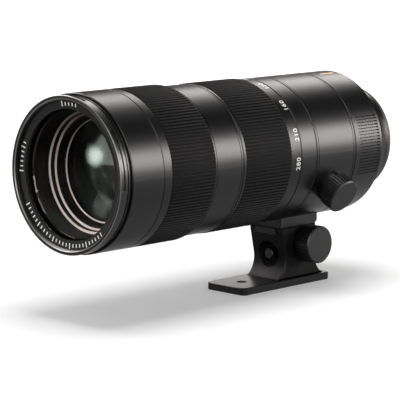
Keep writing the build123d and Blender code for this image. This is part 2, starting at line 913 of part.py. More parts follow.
def rear_barrel():
    """Rear shell with an inner wall at its back and a ribbed panel on each side."""
    shell = turned((shell_bore, collar_rear), (rear_radius - edge_bevel, collar_rear),
                   (rear_radius, collar_rear + edge_bevel), (rear_radius, neck_front - edge_bevel),
                   (rear_radius - edge_bevel, neck_front), (neck_bore + fit_gap, neck_front),
                   (neck_bore + fit_gap, rear_wall_front), (shell_bore, rear_wall_front))
    front = collar_rear + panel_front_inset
    rear = neck_front - panel_rear_inset
    start, end = panel_turns
    pitch = (end - start) / panel_grooves
    groove = Box(panel_groove_width, rear - front, panel_groove_depth * 2)
    cutters = []
    for index in range(panel_grooves):
        turn = start + pitch * (index + 1 / 2)
        for side in (turn, -turn):
            cutters.append(outward(side, (front + rear) / 2, rear_radius) * groove)
    return shell - cutters


def rear_cone():
    """Neck that narrows with a hollow curve from the rear barrel to the mount."""
    shoulder = neck_front + neck_straight
    middle = ((neck_radius + neck_end_radius) / 2 - neck_hollow, (shoulder + neck_rear) / 2)
    outline = [
        Polyline((neck_bore, neck_front), (neck_radius, neck_front), (neck_radius, shoulder)),
        ThreePointArc((neck_radius, shoulder), middle, (neck_end_radius, neck_rear)),
        Polyline((neck_end_radius, neck_rear), (neck_end_bore, neck_rear), (neck_bore, neck_front)),
    ]
    neck = revolve(make_face(outline), Axis.Y)
    hole = bar(mount_shank_radius + fit_gap, mount_screw_depth)
    for index in range(mount_screw_count):
        neck -= around(mount_screw_circle, screw_place(index), -mount_screw_depth) * hole
    return neck


def screw_place(index):
    return 360 * index / mount_screw_count


def bayonet_plate():
    """Mount flange with a spigot and three lugs."""
    plate = turned((plate_bore, neck_rear), (flange_radius, neck_rear), (flange_radius, 0),
                   (spigot_radius, 0), (spigot_radius, spigot_length), (plate_bore, spigot_length))
    for turn in lug_turns:
        plate += arc_block(plate_bore, spigot_radius + lug_height, lug_start,
                           lug_start + lug_length, turn, turn + lug_turn)
    shank = bar(mount_shank_radius + fit_gap, plate_thickness + cut_over)
    depth = mount_head_length + mount_head_sink
    head = bar(mount_head_radius + fit_gap, depth + cut_over)
    for index in range(mount_screw_count):
        plate -= around(mount_screw_circle, screw_place(index), neck_rear - cut_over) * shank
        plate -= around(mount_screw_circle, screw_place(index), -depth) * head
    return plate


def bayonet_screws():
    head_front = -mount_head_sink - mount_head_length
    shank = bar(mount_shank_radius, mount_screw_depth + head_front)
    head = Pos(0, 0, mount_screw_depth + head_front) * bar(mount_head_radius, mount_head_length)
    screw = shank + head
    return Compound([around(mount_screw_circle, screw_place(index), -mount_screw_depth) * screw
                     for index in range(mount_screw_count)])


def weather_seal():
    return tube(neck_end_radius - fit_gap, flange_radius + fit_gap, neck_rear,
                neck_rear + seal_length)


def rear_baffle():
    """Disc with a window the shape of the picture."""
    front = neck_rear - baffle_thickness
    disc = rearward(0, front, 0) * bar(baffle_radius, baffle_thickness)
    window = Box(baffle_window_width, baffle_thickness * 2 + cut_over, baffle_window_height)
    return disc - Pos(0, front, 0) * window


def contact_turn(index):
    return contact_turn_middle + contact_step_turn * (index - (contact_count - 1) / 2)


def contact_block():
    half = contact_block_turn / 2
    block = arc_block(contact_block_inner, contact_block_radius, neck_rear, contact_block_end,
                      contact_turn_middle - half, contact_turn_middle + half)
    start = contact_block_end + contact_proud - contact_length
    hole = bar(contact_radius + fit_gap, contact_length + cut_over)
    for index in range(contact_count):
        block -= around(contact_circle, contact_turn(index), start) * hole
    return block


def contact_pins():
    start = contact_block_end + contact_proud - contact_length
    pin = bar(contact_radius, contact_length)
    return Compound([around(contact_circle, contact_turn(index), start) * pin
                     for index in range(contact_count)])


def dovetail_half_at(height):
    """Half width of the rail's dovetail at this height below the axis."""
    return dovetail_half_width + dovetail_extra_width * (height - rail_bottom) / dovetail_depth


def tripod_collar():
    """Turning collar with a dovetail rail below and a boss for its clamp screw."""
    front = collar_front + ring_gap
    rear = collar_rear - ring_gap
    relief = ring_bore + collar_relief
    collar = turned((ring_bore, front), (rear_radius - edge_bevel, front),
                    (rear_radius, front + edge_bevel), (rear_radius, rear - edge_bevel),
                    (rear_radius - edge_bevel, rear), (ring_bore, rear),
                    (ring_bore, rear - collar_land), (relief, rear - collar_land),
                    (relief, front + collar_land), (ring_bore, front + collar_land))
    collar -= turned_line(rear_radius, front + line_inset)
    collar -= turned_line(rear_radius, rear - line_inset - line_width)
    step = rail_half_width - rail_inset
    wide = dovetail_half_width + dovetail_extra_width
    collar += profile_along_axis(
        [(-rail_half_width, -rail_root), (rail_half_width, -rail_root),
         (rail_half_width, -rail_floor), (step, -rail_floor), (step, -rail_bottom),
         (dovetail_half_width, -rail_bottom), (wide, -dovetail_bottom), (-wide, -dovetail_bottom),
         (-dovetail_half_width, -rail_bottom), (-step, -rail_bottom), (-step, -rail_floor),
         (-rail_half_width, -rail_floor)], rail_front, rail_rear)
    wall = (relief + rear_radius) / 2
    boss = outward(clamp_turn, clamp_station, wall) * bar(clamp_boss_radius, clamp_boss_top - wall)
    collar += boss
    pocket_top = ring_bore + slide_gap + shoe_thickness + shoe_lift + slide_gap
    pocket = bar(shoe_radius + slide_gap, pocket_top - ring_bore + cut_over)
    collar -= outward(clamp_turn, clamp_station, ring_bore - cut_over) * pocket
    hole = bar(stem_radius + running_gap, clamp_boss_top - ring_bore + cut_over)
    return collar - outward(clamp_turn, clamp_station, ring_bore) * hole


def knob(radius, length, neck, neck_radius, reach):
    """Knurled knob whose back is at its place and whose face looks along +Z."""
    head = bar(radius, length)
    head = chamfer(head.edges().group_by(Axis.Z)[-1], knob_bevel)
    groove = bar(knurl_radius, length - knob_bevel)
    for index in range(knurl_count):
        head -= Rot(0, 0, 360 * index / knurl_count) * Pos(radius, 0, 0) * groove
    collar = Pos(0, 0, -neck) * bar(neck_radius, neck)
    stem = Pos(0, 0, -neck - reach) * bar(stem_radius, reach)
    return head + collar + stem


def collar_knob():
    back = clamp_boss_top + knob_gap + clamp_neck
    shape = knob(clamp_knob_radius, clamp_knob_length, clamp_neck, clamp_boss_radius,
                 clamp_stem_reach + knob_gap)
    return outward(clamp_turn, clamp_station, back) * shape


def clamp_shoe():
    """Pad that the collar knob presses on the main tube."""
    seat = tube(ring_bore + slide_gap + shoe_thickness, ring_bore + slide_gap,
                clamp_station - shoe_radius * 2, clamp_station + shoe_radius * 2)
    shoe = seat & outward(clamp_turn, clamp_station, tube_bore) * bar(shoe_radius, tube_radius)
    top = ring_bore + slide_gap + shoe_thickness
    bore = bar(stem_radius + running_gap, shoe_bore + cut_over)
    return shoe - outward(clamp_turn, clamp_station, top - shoe_bore) * bore


def foot_block():
    """Pedestal with a waist, a dovetail groove, a jaw pocket and a button recess."""
    waist = (rail_front + foot_waist_inset, -foot_top - foot_waist_drop)
    toe = (rail_front - foot_toe_reach, -foot_bottom)
    heel_top = (foot_rear, -foot_top - foot_heel_drop)
    heel = (foot_rear + foot_heel_reach, -foot_bottom)
    front_line = Line((rail_front, -foot_top), waist)
    rear_line = Line((foot_rear, -foot_top), heel_top)
    outline = [
        front_line, TangentArc(waist, toe, tangent=front_line % 1),
        Line(toe, heel),
        TangentArc(heel_top, heel, tangent=rear_line % 1), rear_line,
        Line((foot_rear, -foot_top), (rail_front, -foot_top)),
    ]
    block = extrude(Plane.YZ * make_face(outline), amount=foot_half_width, both=True)
    block = chamfer(block.faces().filter_by(Axis.X).edges(), foot_edge)
    top_half = dovetail_half_at(foot_top) + slide_gap
    floor_half = dovetail_half_at(dovetail_bottom) + slide_gap
    above = foot_top - cut_over
    groove = [(-top_half, -above), (top_half, -above), (top_half, -foot_top),
              (floor_half, -groove_floor), (-floor_half, -groove_floor), (-top_half, -foot_top)]
    block -= profile_along_axis(groove, rail_front - cut_over, foot_rear + cut_over)
    pocket_inner = jaw_inner - slide_gap
    pocket_outer = jaw_outer + jaw_travel + slide_gap * 2
    pocket_floor = foot_knob_height + jaw_drop + slide_gap
    pocket = Box(pocket_outer - pocket_inner, (jaw_half_length + slide_gap) * 2,
                 pocket_floor - foot_top + cut_over, align=(Align.MIN, Align.CENTER, Align.MIN))
    block -= Pos(pocket_inner, foot_knob_station, -pocket_floor) * pocket
    stem_hole = bar(stem_radius + running_gap, foot_half_width)
    block -= Pos(jaw_inner, foot_knob_station, -foot_knob_height) * Rot(0, 90, 0) * stem_hole
    lead = recess_floor - recess_depth
    recess = rearward(0, lead, -button_height) * Cone(recess_radius, recess_floor_radius,
                                                      recess_depth, align=MIN_END)
    lead_in = foot_toe_reach + foot_waist_inset
    recess += rearward(0, lead - lead_in, -button_height) * bar(recess_radius, lead_in)
    block -= recess
    bore_length = button_front + button_length + spring_length - recess_floor
    block -= rearward(0, recess_floor - cut_over, -button_height) * bar(
        button_radius + slide_gap, bore_length + cut_over)
    screw_top = -foot_bottom - foot_plate_thickness + plate_head_sink + plate_screw_length
    for inset in plate_screw_insets:
        block -= Pos(0, rail_front + inset, -foot_bottom - cut_over) * bar(
            plate_screw_radius + fit_gap, screw_top + foot_bottom + cut_over)
    return block


def foot_plate():
    """Plate that rests on a tripod head, with one threaded hole in its toe."""
    length = plate_rear - plate_front
    middle = (plate_rear + plate_front) / 2
    plate = Box(plate_half_width * 2, length, foot_plate_thickness,
                align=(Align.CENTER, Align.CENTER, Align.MAX))
    plate = fillet(plate.edges().filter_by(Axis.Z), plate_corner)
    rims = plate.edges().group_by(Axis.Z)
    plate = Pos(0, middle, -foot_bottom) * chamfer(rims[0] + rims[-1], plate_edge)
    floor = -foot_bottom - foot_plate_thickness
    plate -= Pos(0, plate_front + tripod_hole_inset, floor - cut_over) * bar(
        tripod_hole_radius, foot_plate_thickness + cut_over * 2)
    for inset in plate_screw_insets:
        plate -= Pos(0, rail_front + inset, floor - cut_over) * bar(
            plate_screw_radius + fit_gap, foot_plate_thickness + cut_over * 2)
        plate -= Pos(0, rail_front + inset, floor - cut_over) * bar(
            plate_head_radius + fit_gap, cut_over + plate_head_sink + plate_head_length)
    return plate


def plate_screws():
    start = -foot_bottom - foot_plate_thickness + plate_head_sink
    screw = bar(plate_screw_radius, plate_screw_length) + bar(plate_head_radius, plate_head_length)
    return Compound([Pos(0, rail_front + inset, start) * screw for inset in plate_screw_insets])


def foot_knob():
    back = foot_half_width + knob_gap + foot_knob_neck
    shape = knob(foot_knob_radius, foot_knob_length, foot_knob_neck, foot_knob_neck_radius,
                 foot_half_width + knob_gap - foot_stem_reach)
    return Pos(back, foot_knob_station, -foot_knob_height) * Rot(0, 90, 0) * shape


def clamp_jaw():
    """Gib that the foot knob draws on and off the dovetail."""
    floor = foot_knob_height + jaw_drop
    points = [(dovetail_half_at(jaw_top) + slide_gap, -jaw_top), (jaw_outer, -jaw_top),
              (jaw_outer, -floor), (jaw_inner, -floor), (jaw_inner, -groove_floor),
              (dovetail_half_at(groove_floor) + slide_gap, -groove_floor)]
    jaw = profile_along_axis(points, foot_knob_station - jaw_half_length,
                             foot_knob_station + jaw_half_length)
    hole = bar(stem_radius + running_gap, foot_half_width)
    return jaw - Pos(0, foot_knob_station, -foot_knob_height) * Rot(0, 90, 0) * hole


def release_button():
    button = bar(button_radius, button_length)
    button = chamfer(button.edges().group_by(Axis.Z)[0], button_chamfer)
    return rearward(0, button_front, -button_height) * button


def release_spring():
    """Coil spring behind the button."""
    rise = spring_length - spring_wire * 2 - slide_gap
    path = Helix(rise / spring_turns, rise, spring_radius)
    section = Plane(origin=path @ 0, z_dir=path % 0) * Circle(spring_wire)
    coil = sweep(section, path, is_frenet=True)
    start = button_front + button_length + spring_wire + slide_gap / 2
    return rearward(0, start, -button_height) * coil


parts = {
    "front_ring": front_ring(),
    "name_ring": name_ring(),
    "front_cell": front_cell(),
    "front_element": front_element(),
    "second_element": second_element(),
    "front_retainer": front_retainer(),
    "front_barrel": front_barrel(),
    "front_trim_ring": front_trim_ring(),
    "main_tube": main_tube(),
    "focus_ring": focus_ring(),
    "focus_grip": focus_grip(),
    "middle_barrel": middle_barrel(),
    "zoom_ring": zoom_ring(),
    "zoom_grip": zoom_grip(),
    "drive_key": drive_key(),
    "cam_tube": cam_tube(),
    "guide_tube": guide_tube(),
    "variator_cell": moving_cell(variator_front, variator_length, variator_glass_radius),
    "variator_element": variator_element(),
    "variator_rollers": rollers(variator_front, variator_length),
    "compensator_cell": moving_cell(compensator_front, compensator_length,
                                    compensator_glass_radius),
    "compensator_element": compensator_element(),
    "compensator_rollers": rollers(compensator_front, compensator_length),
    "iris_base": iris_base(),
    "iris_ring": iris_ring(),
    "iris_cap": iris_cap(),
    "focus_cell": focus_cell(),
    "focus_element": focus_element(),
    "focus_rods": focus_rods(),
    "lead_screw": lead_screw(),
    "focus_motor": focus_motor(),
    "rear_cell": rear_cell(),
    "rear_element": rear_element(),
    "circuit_board": circuit_board(),
    "index_ring": index_ring(),
    "rear_barrel": rear_barrel(),
    "rear_cone": rear_cone(),
    "bayonet_plate": bayonet_plate(),
    "bayonet_screws": bayonet_screws(),
    "weather_seal": weather_seal(),
    "rear_baffle": rear_baffle(),
    "contact_block": contact_block(),
    "contact_pins": contact_pins(),
    "tripod_collar": tripod_collar(),
    "collar_knob": collar_knob(),
    "clamp_shoe": clamp_shoe(),
    "foot_block": foot_block(),
    "foot_plate": foot_plate(),
    "plate_screws": plate_screws(),
    "foot_knob": foot_knob(),
    "clamp_jaw": clamp_jaw(),
    "release_button": release_button(),
    "release_spring": release_spring(),
}
for blade in range(blade_count):
    parts[f"iris_blade_{blade + 1}"] = iris_blade(blade)

os.makedirs("parts", exist_ok=True)
for node, shape in parts.items():
    export_step(shape, f"parts/{node}.step")
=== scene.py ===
import json
import math

import bmesh
import bpy
from mathutils import Matrix, Vector


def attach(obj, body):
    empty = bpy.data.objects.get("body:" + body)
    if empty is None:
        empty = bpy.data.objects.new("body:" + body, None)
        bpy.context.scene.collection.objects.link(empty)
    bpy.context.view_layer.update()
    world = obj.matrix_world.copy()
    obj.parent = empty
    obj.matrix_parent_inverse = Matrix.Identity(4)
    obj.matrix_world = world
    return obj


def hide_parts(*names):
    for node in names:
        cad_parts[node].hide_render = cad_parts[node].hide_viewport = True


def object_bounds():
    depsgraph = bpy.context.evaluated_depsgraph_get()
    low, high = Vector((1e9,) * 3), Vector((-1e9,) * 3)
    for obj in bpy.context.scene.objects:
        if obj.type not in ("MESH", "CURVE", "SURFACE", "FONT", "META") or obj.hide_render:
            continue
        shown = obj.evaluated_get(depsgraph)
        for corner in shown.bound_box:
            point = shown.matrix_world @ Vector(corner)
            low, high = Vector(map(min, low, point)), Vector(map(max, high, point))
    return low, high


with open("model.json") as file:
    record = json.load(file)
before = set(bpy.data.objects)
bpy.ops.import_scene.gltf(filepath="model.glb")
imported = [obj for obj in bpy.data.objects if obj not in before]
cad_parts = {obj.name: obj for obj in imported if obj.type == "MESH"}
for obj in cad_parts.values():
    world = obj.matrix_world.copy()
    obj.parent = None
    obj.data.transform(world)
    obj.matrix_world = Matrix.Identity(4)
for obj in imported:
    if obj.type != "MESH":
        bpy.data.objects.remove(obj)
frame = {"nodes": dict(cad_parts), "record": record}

# The optical axis is Y, the front glass looks along -Y and the foot hangs down along -Z.
# A turn is an angle in degrees about the axis, from the top towards the foot knob's side.
MM = 0.001
cad_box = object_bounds()

# Camera: place in metres, angles in degrees, lens and sensor in millimetres
CAMERA_PLACE = (0.8273, -0.9937, 0.1612)
CAMERA_HEADING = 43.89
CAMERA_DROP = 8.85
CAMERA_ROLL = 0.21
CAMERA_LENS = 189.9
SENSOR_WIDTH = 36.0

# Studio, in metres and watts
LIGHT_AIM = (0.0, -0.12, -0.01)
STRIP_REACH = 1.0
STRIP_STATION = 0.80
STRIP_WIDTH = 0.46
STRIP_LENGTH = 0.85
FAR_STATION = -0.62
FAR_LENGTH = 1.5
# Strips: turn and power, the near ones with a name
FAR_STRIPS = ((72.0, 34.0), (-35.0, 10.0), (-50.0, 30.0), (35.0, 10.0))
NEAR_STRIPS = (("side_strip", 72.0, 33.0), ("top_strip", -35.0, 9.0))
WARM_WHITE = (1.0, 0.965, 0.955)
# A card and two softboxes: place, width, length, power
LOW_CARD = ((-0.36, 0.27, 0.005), 0.13, 0.6, 0.65)
OVERHEAD_BOX = ((0.08, -0.14, 1.3), 0.75, 0.75, 12.0)
FRONT_BOX = ((-0.48, -0.878, -0.04), 0.10, 0.13, 2.6)
# A soft lamp fades from its core to its edge, as shares of its width from the middle
SOFT_MIDDLE = (0.5, 0.5, 0.0)
SOFT_EDGE = 0.5
SOFT_CORE = 0.05
# Divides rays that haven't bounced yet from those that have
HALF_BOUNCE = 0.5
# Strengths of the world: for fill, behind glass, and in reflections
WORLD_DIFFUSE = 0.50
WORLD_INSIDE = 0.05
INSIDE_DIFFUSE = 0.35
FRONT_SHARE = 0.12
FRONT_FADE = (-0.10, 0.10)
CEILING_GLOSS = 0.02
HORIZON_GLOSS = 0.30
HORIZON_FADE = (-0.02, 0.13)
# Floor, and how much it glows where the camera, glass or a reflection sees it
FLOOR_SIZE = 16.0
FLOOR_COLOUR = (0.83, 0.83, 0.83)
FLOOR_ROUGHNESS = 0.9
FLOOR_SPECULAR = 0.1
FLOOR_LIFT = 0.22
FLOOR_GLOSS_SHARE = 0.8
FLOOR_FRONT_FADE = (-0.40, -0.20)
FAR_LIFT = 0.85
FAR_LIFT_ENDS = (0.35, 1.1)

# Sizes of the pieces, in millimetres; a station is a place along the axis
SCALE_RADIUS = 42.3
REAR_RADIUS = 42.35

# Rubber grips: name, crest radius, bore, stations of the ends, ribs
GRIPS = (("focus", 43.99, 42.95, (-199.95, -166.05), 138),
         ("zoom", 43.0, 41.95, (-140.7, -102.8), 133))
RIB_BED = 0.28
RIB_CREST = 1.05
RIB_SIDE_SHARE = 0.62
RIB_TOP_SHARE = 0.38
RIB_SINK = 0.05
# Flank and edge of a rib's crown: share of the crown's half width, drop from the crest
FLANK_SHARE = 1.25
FLANK_DROP_SHARE = 0.28
EDGE_SHARE = 0.8
EDGE_DROP = 0.06
# Ends of a rib: distance from the grip's end, share of the height that is missing there
RIB_END = 0.7
RIB_END_STEPS = ((0.05, 0.75), (RIB_END * 0.4, 0.25), (RIB_END, 0.0))
BED_BEVEL = 0.1

# Focal-length scale
SCALE_MARKS = (("90", 0.0), ("120", 20.9), ("160", 46.0), ("210", 71.6), ("280", 94.4))
SCALE_MIDDLE = -96.7
DIGIT_HEIGHT = 3.4
DIGIT_SPACING = 1.13
DIGIT_BOLD = 0.07
FONT_SIZE_SHARE = 1.37
PAINT_THICKNESS = 0.02
# Bars on the rear barrel: turns, stations
ZOOM_INDEX = ((-0.35, 0.35), (-92.9, -88.0))
MOUNT_INDEX = ((8.0, 10.0), (-37.5, -25.6))

# Ribbed panels of the rear barrel, with painted shade in their grooves and in the pits at their
# rear ends
PANEL_TURNS = (62.5, 111.5)
PANEL_GROOVES = 20
PANEL_LINE = 0.32
PANEL_ENDS = (-41.6, -24.6)
PIT_WIDTH = 0.95
PIT_ENDS = (-24.4, -23.45)

# Mount screws and foot plate screws; a recess is its arms, reach, half width of an arm, depth
MOUNT_SCREW_COUNT = 6
MOUNT_SCREW_CIRCLE = 28.8
MOUNT_SCREW_FACE = -0.15
MOUNT_HEAD_RADIUS = 1.5
MOUNT_HEAD_LENGTH = 1.2
MOUNT_RECESS = (4, 0.95, 0.2, 0.6)
PLATE_SCREW_PLACES = (-68.0, -50.0)
PLATE_SCREW_FACE = -81.36
PLATE_HEAD_RADIUS = 3.8
PLATE_HEAD_LENGTH = 2.2
PLATE_RECESS = (6, 2.0, 0.0, 1.5)
# Screw heads: shares of the radius, of the bevel, and of the recess at its floor
HEAD_BEVEL = 0.12
HEAD_UNDERSIDE = 0.98
BEVEL_SOFTENING = 0.3
FLOOR_REACH = 0.88
FLOOR_ARM = 0.8
HEAD_SEGMENTS = 48

# Tripod thread: station, radius, lower and upper end of the hole
TRIPOD_HOLE = (-97.97, 3.175, -81.66, -77.15)
TRIPOD_PITCH = 1.27
TRIPOD_DEPTH = 0.55
TRIPOD_MARGIN = 0.7

# Filter thread
FILTER_RADIUS = 41.0
FILTER_ENDS = (-237.4, -235.45)
FILTER_PITCH = 0.75
FILTER_DEPTH = 0.36
FILTER_STEPS = 144

# Thread ridges: half widths in pitches, overlap with the wall, run-in steps and least height
ROOT_SHARE = 0.42
CREST_SHARE = 0.07
RIDGE_SINK = 0.02
RUN_IN_STEPS = 14.0
RUN_IN_LEAST = 0.05

# Lenses: name, radius, clear radius, front and rear seat, front and rear bulge
LENSES = (("front", 36.6, 35.0, -232.3, -227.5, 2.4, -2.0),
          ("second", 30.3, 28.5, -206.4, -201.4, 3.2, 3.2),
          ("variator", 22.0, 20.8, -184.65, -177.65, -1.6, -1.6),
          ("compensator", 20.0, 18.8, -106.0, -101.5, 2.2, 2.2),
          ("focus", 17.0, 15.8, -77.15, -73.15, -1.5, 1.5),
          ("rear", 18.4, 17.2, -36.0, -18.0, 1.2, 1.2))
LENS_BODIES = {"variator": "variator_body", "compensator": "compensator_body",
               "focus": "focus_carriage"}
LENS_STEPS = 36
LENS_SEGMENTS = 144
GLASS_INDEX = 1.52
CLEAR = (1.0, 1.0, 1.0)

# Recess of the release button: height of its axis, and the radii and stations of the dark sheet of
# painted shade inside it
RECESS_HEIGHT = -63.3
RECESS_PAINTED_SHADE = ((7.95, -74.2), (5.98, -69.41), (3.6, -69.41), (3.6, -69.46), (5.94, -69.46),
                 (7.9, -74.2))
RECESS_SEGMENTS = 96

# Joint between the collar's rail and the foot: front station, height, half width, half height,
# and how far the line reaches in front of the station and behind it
# The line is painted shade: a dark strip where the two parts meet
FOOT_JOINT = (-80.0, -46.5, 12.2, 0.25)
JOINT_REACH = (-0.03, 0.05)

# Name ring: radius and station of the outer and inner edge of its sloping face
NAME_OUTER = (41.35, -235.3)
NAME_INNER = (35.7, -234.8)
# Ticks: first turn, last turn and step; then their ends as shares of the face's width
NAME_TICKS = ((-8.0, 8.0, 4.0), (-92.0, -68.0, 4.0), (140.0, 240.0, 4.0))
LONG_TICK = (0.22, 0.76)
SHORT_TICK = (0.36, 0.70)
LONG_TICK_EVERY = 5
TICK_HALF_WIDTH = 0.34
TICK_SINK = -0.05
TICK_LIFT = 0.025

# Edges in the front cell, made bright with painted light: name, radius, station, width, depth
CELL_EDGES = (("first_cell_edge", 33.53, -216.75, 1.45, 0.5),
              ("second_cell_edge", 32.03, -213.75, 1.35, 0.5),
              ("retainer_edge", 28.48, -209.1, 0.7, 0.35))
# Their section: shares of the depth at the back and at the lip, share of the width at the front
CELL_EDGE_BACK = 0.5
CELL_EDGE_LIP = 0.8
CELL_EDGE_FRONT = 0.25

# Bevels of the front rim, pale grey as a painted highlight: name, then radius and station of each
# corner
RIM_EDGES = (("inner_bevel", ((41.50, -237.98), (41.00, -237.48), (40.96, -237.52),
                              (41.46, -238.0), (41.62, -238.0), (41.62, -237.98))),
             ("outer_bevel", ((43.27, -237.70), (42.97, -238.0), (42.90, -238.0),
                              (42.90, -237.96), (43.20, -237.66))))
RIM_SEGMENTS = 240

# Hood dot: radius of the barrel, turn, station and the dot's own radius; lift and share of rings
HOOD_DOT = (42.47, 90.7, -233.7, 0.55)
DOT_RINGS = ((-0.05, 1.0), (0.06, 1.0), (0.10, 0.8))
DOT_SEGMENTS = 24

# Surface effects, in metres: gain and offset that turn noise into specks, smudges and a swing of
# roughness, then scales and shares
SPECK = (2.6, -0.9)
SMUDGE = (3.0, -1.1)
GRAIN_SWING = (0.35, -0.175)
LATHE_SMUDGE_SCALE = 60.0
# Painted light on the front cell's edges: lean towards the side away from the knobs, start, grain
# scale and share, roughness spread
LIT_SIDE_LEAN = 0.45
LIT_START = 0.25
LIT_GRAIN_SCALE = 1800.0
LIT_GRAIN_SHARE = 0.2
LIT_ROUGHNESS_SPREAD = 0.1
BUMP_DISTANCE = 0.0001


def at_turn(radius, turn, along):
    """Point on a circle about the optical axis, in metres."""
    angle = math.radians(turn)
    return Vector((radius * math.sin(angle), along, radius * math.cos(angle))) * MM


def in_scene(name, data):
    """New object, linked to the scene."""
    thing = bpy.data.objects.new(name, data)
    bpy.context.scene.collection.objects.link(thing)
    return thing


def calculation(tree, operation, first, second=None, third=None, clamp=False):
    """Math node whose inputs are numbers or sockets; gives its output."""
    node = tree.nodes.new("ShaderNodeMath")
    node.operation = operation
    node.use_clamp = clamp
    for place, value in enumerate((first, second, third)):
        if value is None:
            continue
        if isinstance(value, (int, float)):
            node.inputs[place].default_value = value
        else:
            tree.links.new(value, node.inputs[place])
    return node.outputs[0]


# Meshes

def finished_mesh(name, points, faces, sharp=35.0):
    """Object of one mesh with closed, outward faces."""
    mesh = bpy.data.meshes.new(name)
    mesh.from_pydata([tuple(point) for point in points], [], faces)
    sheet = bmesh.new()
    sheet.from_mesh(mesh)
    bmesh.ops.remove_doubles(sheet, verts=sheet.verts, dist=1e-7)
    bmesh.ops.recalc_face_normals(sheet, faces=sheet.faces)
    sheet.to_mesh(mesh)
    sheet.free()
    for face in mesh.polygons:
        face.use_smooth = True
    mesh.set_sharp_from_angle(angle=math.radians(sharp))
    return in_scene(name, mesh)


def stacked_rings(rings, closed=False):
    """Points and faces of a skin over rings of equal counts, capped or closed on itself."""
    count = len(rings[0])
    points = [point for ring in rings for point in ring]
    faces = []
    steps = len(rings) if closed else len(rings) - 1
    for step in range(steps):
        low = step * count
        high = (step + 1) % len(rings) * count
        for index in range(count):
            following = (index + 1) % count
            faces.append((low + index, low + following, high + following, high + index))
    if not closed:
        faces.append(tuple(range(count))[::-1])
        last = (len(rings) - 1) * count
        faces.append(tuple(last + index for index in range(count)))
    return points, faces


def turned_ring(name, profile, segments=160):
    """Ring turned about the optical axis from a closed profile of radius and station."""
    rings = []
    for index in range(segments):
        turn = 360.0 * index / segments
        rings.append([at_turn(radius, turn, along) for radius, along in profile])
    return finished_mesh(name, *stacked_rings(rings, closed=True))


def merged(name, pieces):
    """One object from several finished ones."""
    whole = bmesh.new()
    for piece in pieces:
        whole.from_mesh(piece.data)
    mesh = bpy.data.meshes.new(name)
    whole.to_mesh(mesh)
    whole.free()
    for piece in pieces:
        bpy.data.objects.remove(piece)
    return in_scene(name, mesh)


def arc_patch(radius, turns, ends, height, steps=24):
    """Thin closed plate bent round the axis, height above and below the radius."""
    rings = []
    for step in range(steps + 1):
        turn = turns[0] + (turns[1] - turns[0]) * step / steps
        rings.append([at_turn(radius - height, turn, ends[0]),
                      at_turn(radius + height, turn, ends[0]),
                      at_turn(radius + height, turn, ends[1]),
                      at_turn(radius - height, turn, ends[1])])
    return stacked_rings(rings)


def joined_parts(name, parts):
    """One object from a list of point and face lists."""
    points = []
    faces = []
    for part_points, part_faces in parts:
        start = len(points)
        points.extend(part_points)
        faces.extend(tuple(start + index for index in face) for face in part_faces)
    return finished_mesh(name, points, faces)


def lens_piece(name, radius, clear, front, rear, front_bulge, rear_bulge):
    """Glass element with two spherical faces and a flat seat outside the clear radius."""
    def face(seat, bulge):
        ball = (clear * clear + bulge * bulge) / (2.0 * abs(bulge))
        way = math.copysign(1.0, bulge)
        return [(reach, seat + way * (math.sqrt(ball * ball - reach * reach)
                                      - math.sqrt(ball * ball - clear * clear)))
                for reach in (clear * step / LENS_STEPS for step in range(LENS_STEPS + 1))]
    profile = [(reach, 2.0 * front - along) for reach, along in face(front, front_bulge)]
    profile += [(radius, front), (radius, rear)] + face(rear, rear_bulge)[::-1]
    turns = [360.0 * index / LENS_SEGMENTS for index in range(LENS_SEGMENTS)]
    rings = [[at_turn(reach, turn, along) for turn in turns] for reach, along in profile]
    return finished_mesh(name, *stacked_rings(rings), sharp=5.0)


def helical_ridge(name, place, radius, reach, ends, pitch, steps_per_turn=72):
    """Thread ridge standing inwards from a bore; place turns (radius, angle, along) to a point."""
    turns = (ends[1] - ends[0]) / pitch
    steps = int(turns * steps_per_turn)
    rings = []
    for step in range(steps + 1):
        share = step / steps
        fade = min(1.0, share * steps / RUN_IN_STEPS, (1.0 - share) * steps / RUN_IN_STEPS)
        along = ends[0] + (ends[1] - ends[0]) * share
        angle = 360.0 * turns * share
        tip = radius - reach * max(fade, RUN_IN_LEAST)
        rings.append([place(radius + RIDGE_SINK, angle, along - pitch * ROOT_SHARE),
                      place(tip, angle, along - pitch * CREST_SHARE),
                      place(tip, angle, along + pitch * CREST_SHARE),
                      place(radius + RIDGE_SINK, angle, along + pitch * ROOT_SHARE)])
    return finished_mesh(name, *stacked_rings(rings), sharp=25.0)


# Repeated pieces

def input_socket(tree, name):
    """Identifier of a tree's input."""
    for item in tree.interface.items_tree:
        if item.item_type == "SOCKET" and item.in_out == "INPUT" and item.name == name:
            return item.identifier
    raise KeyError(name)


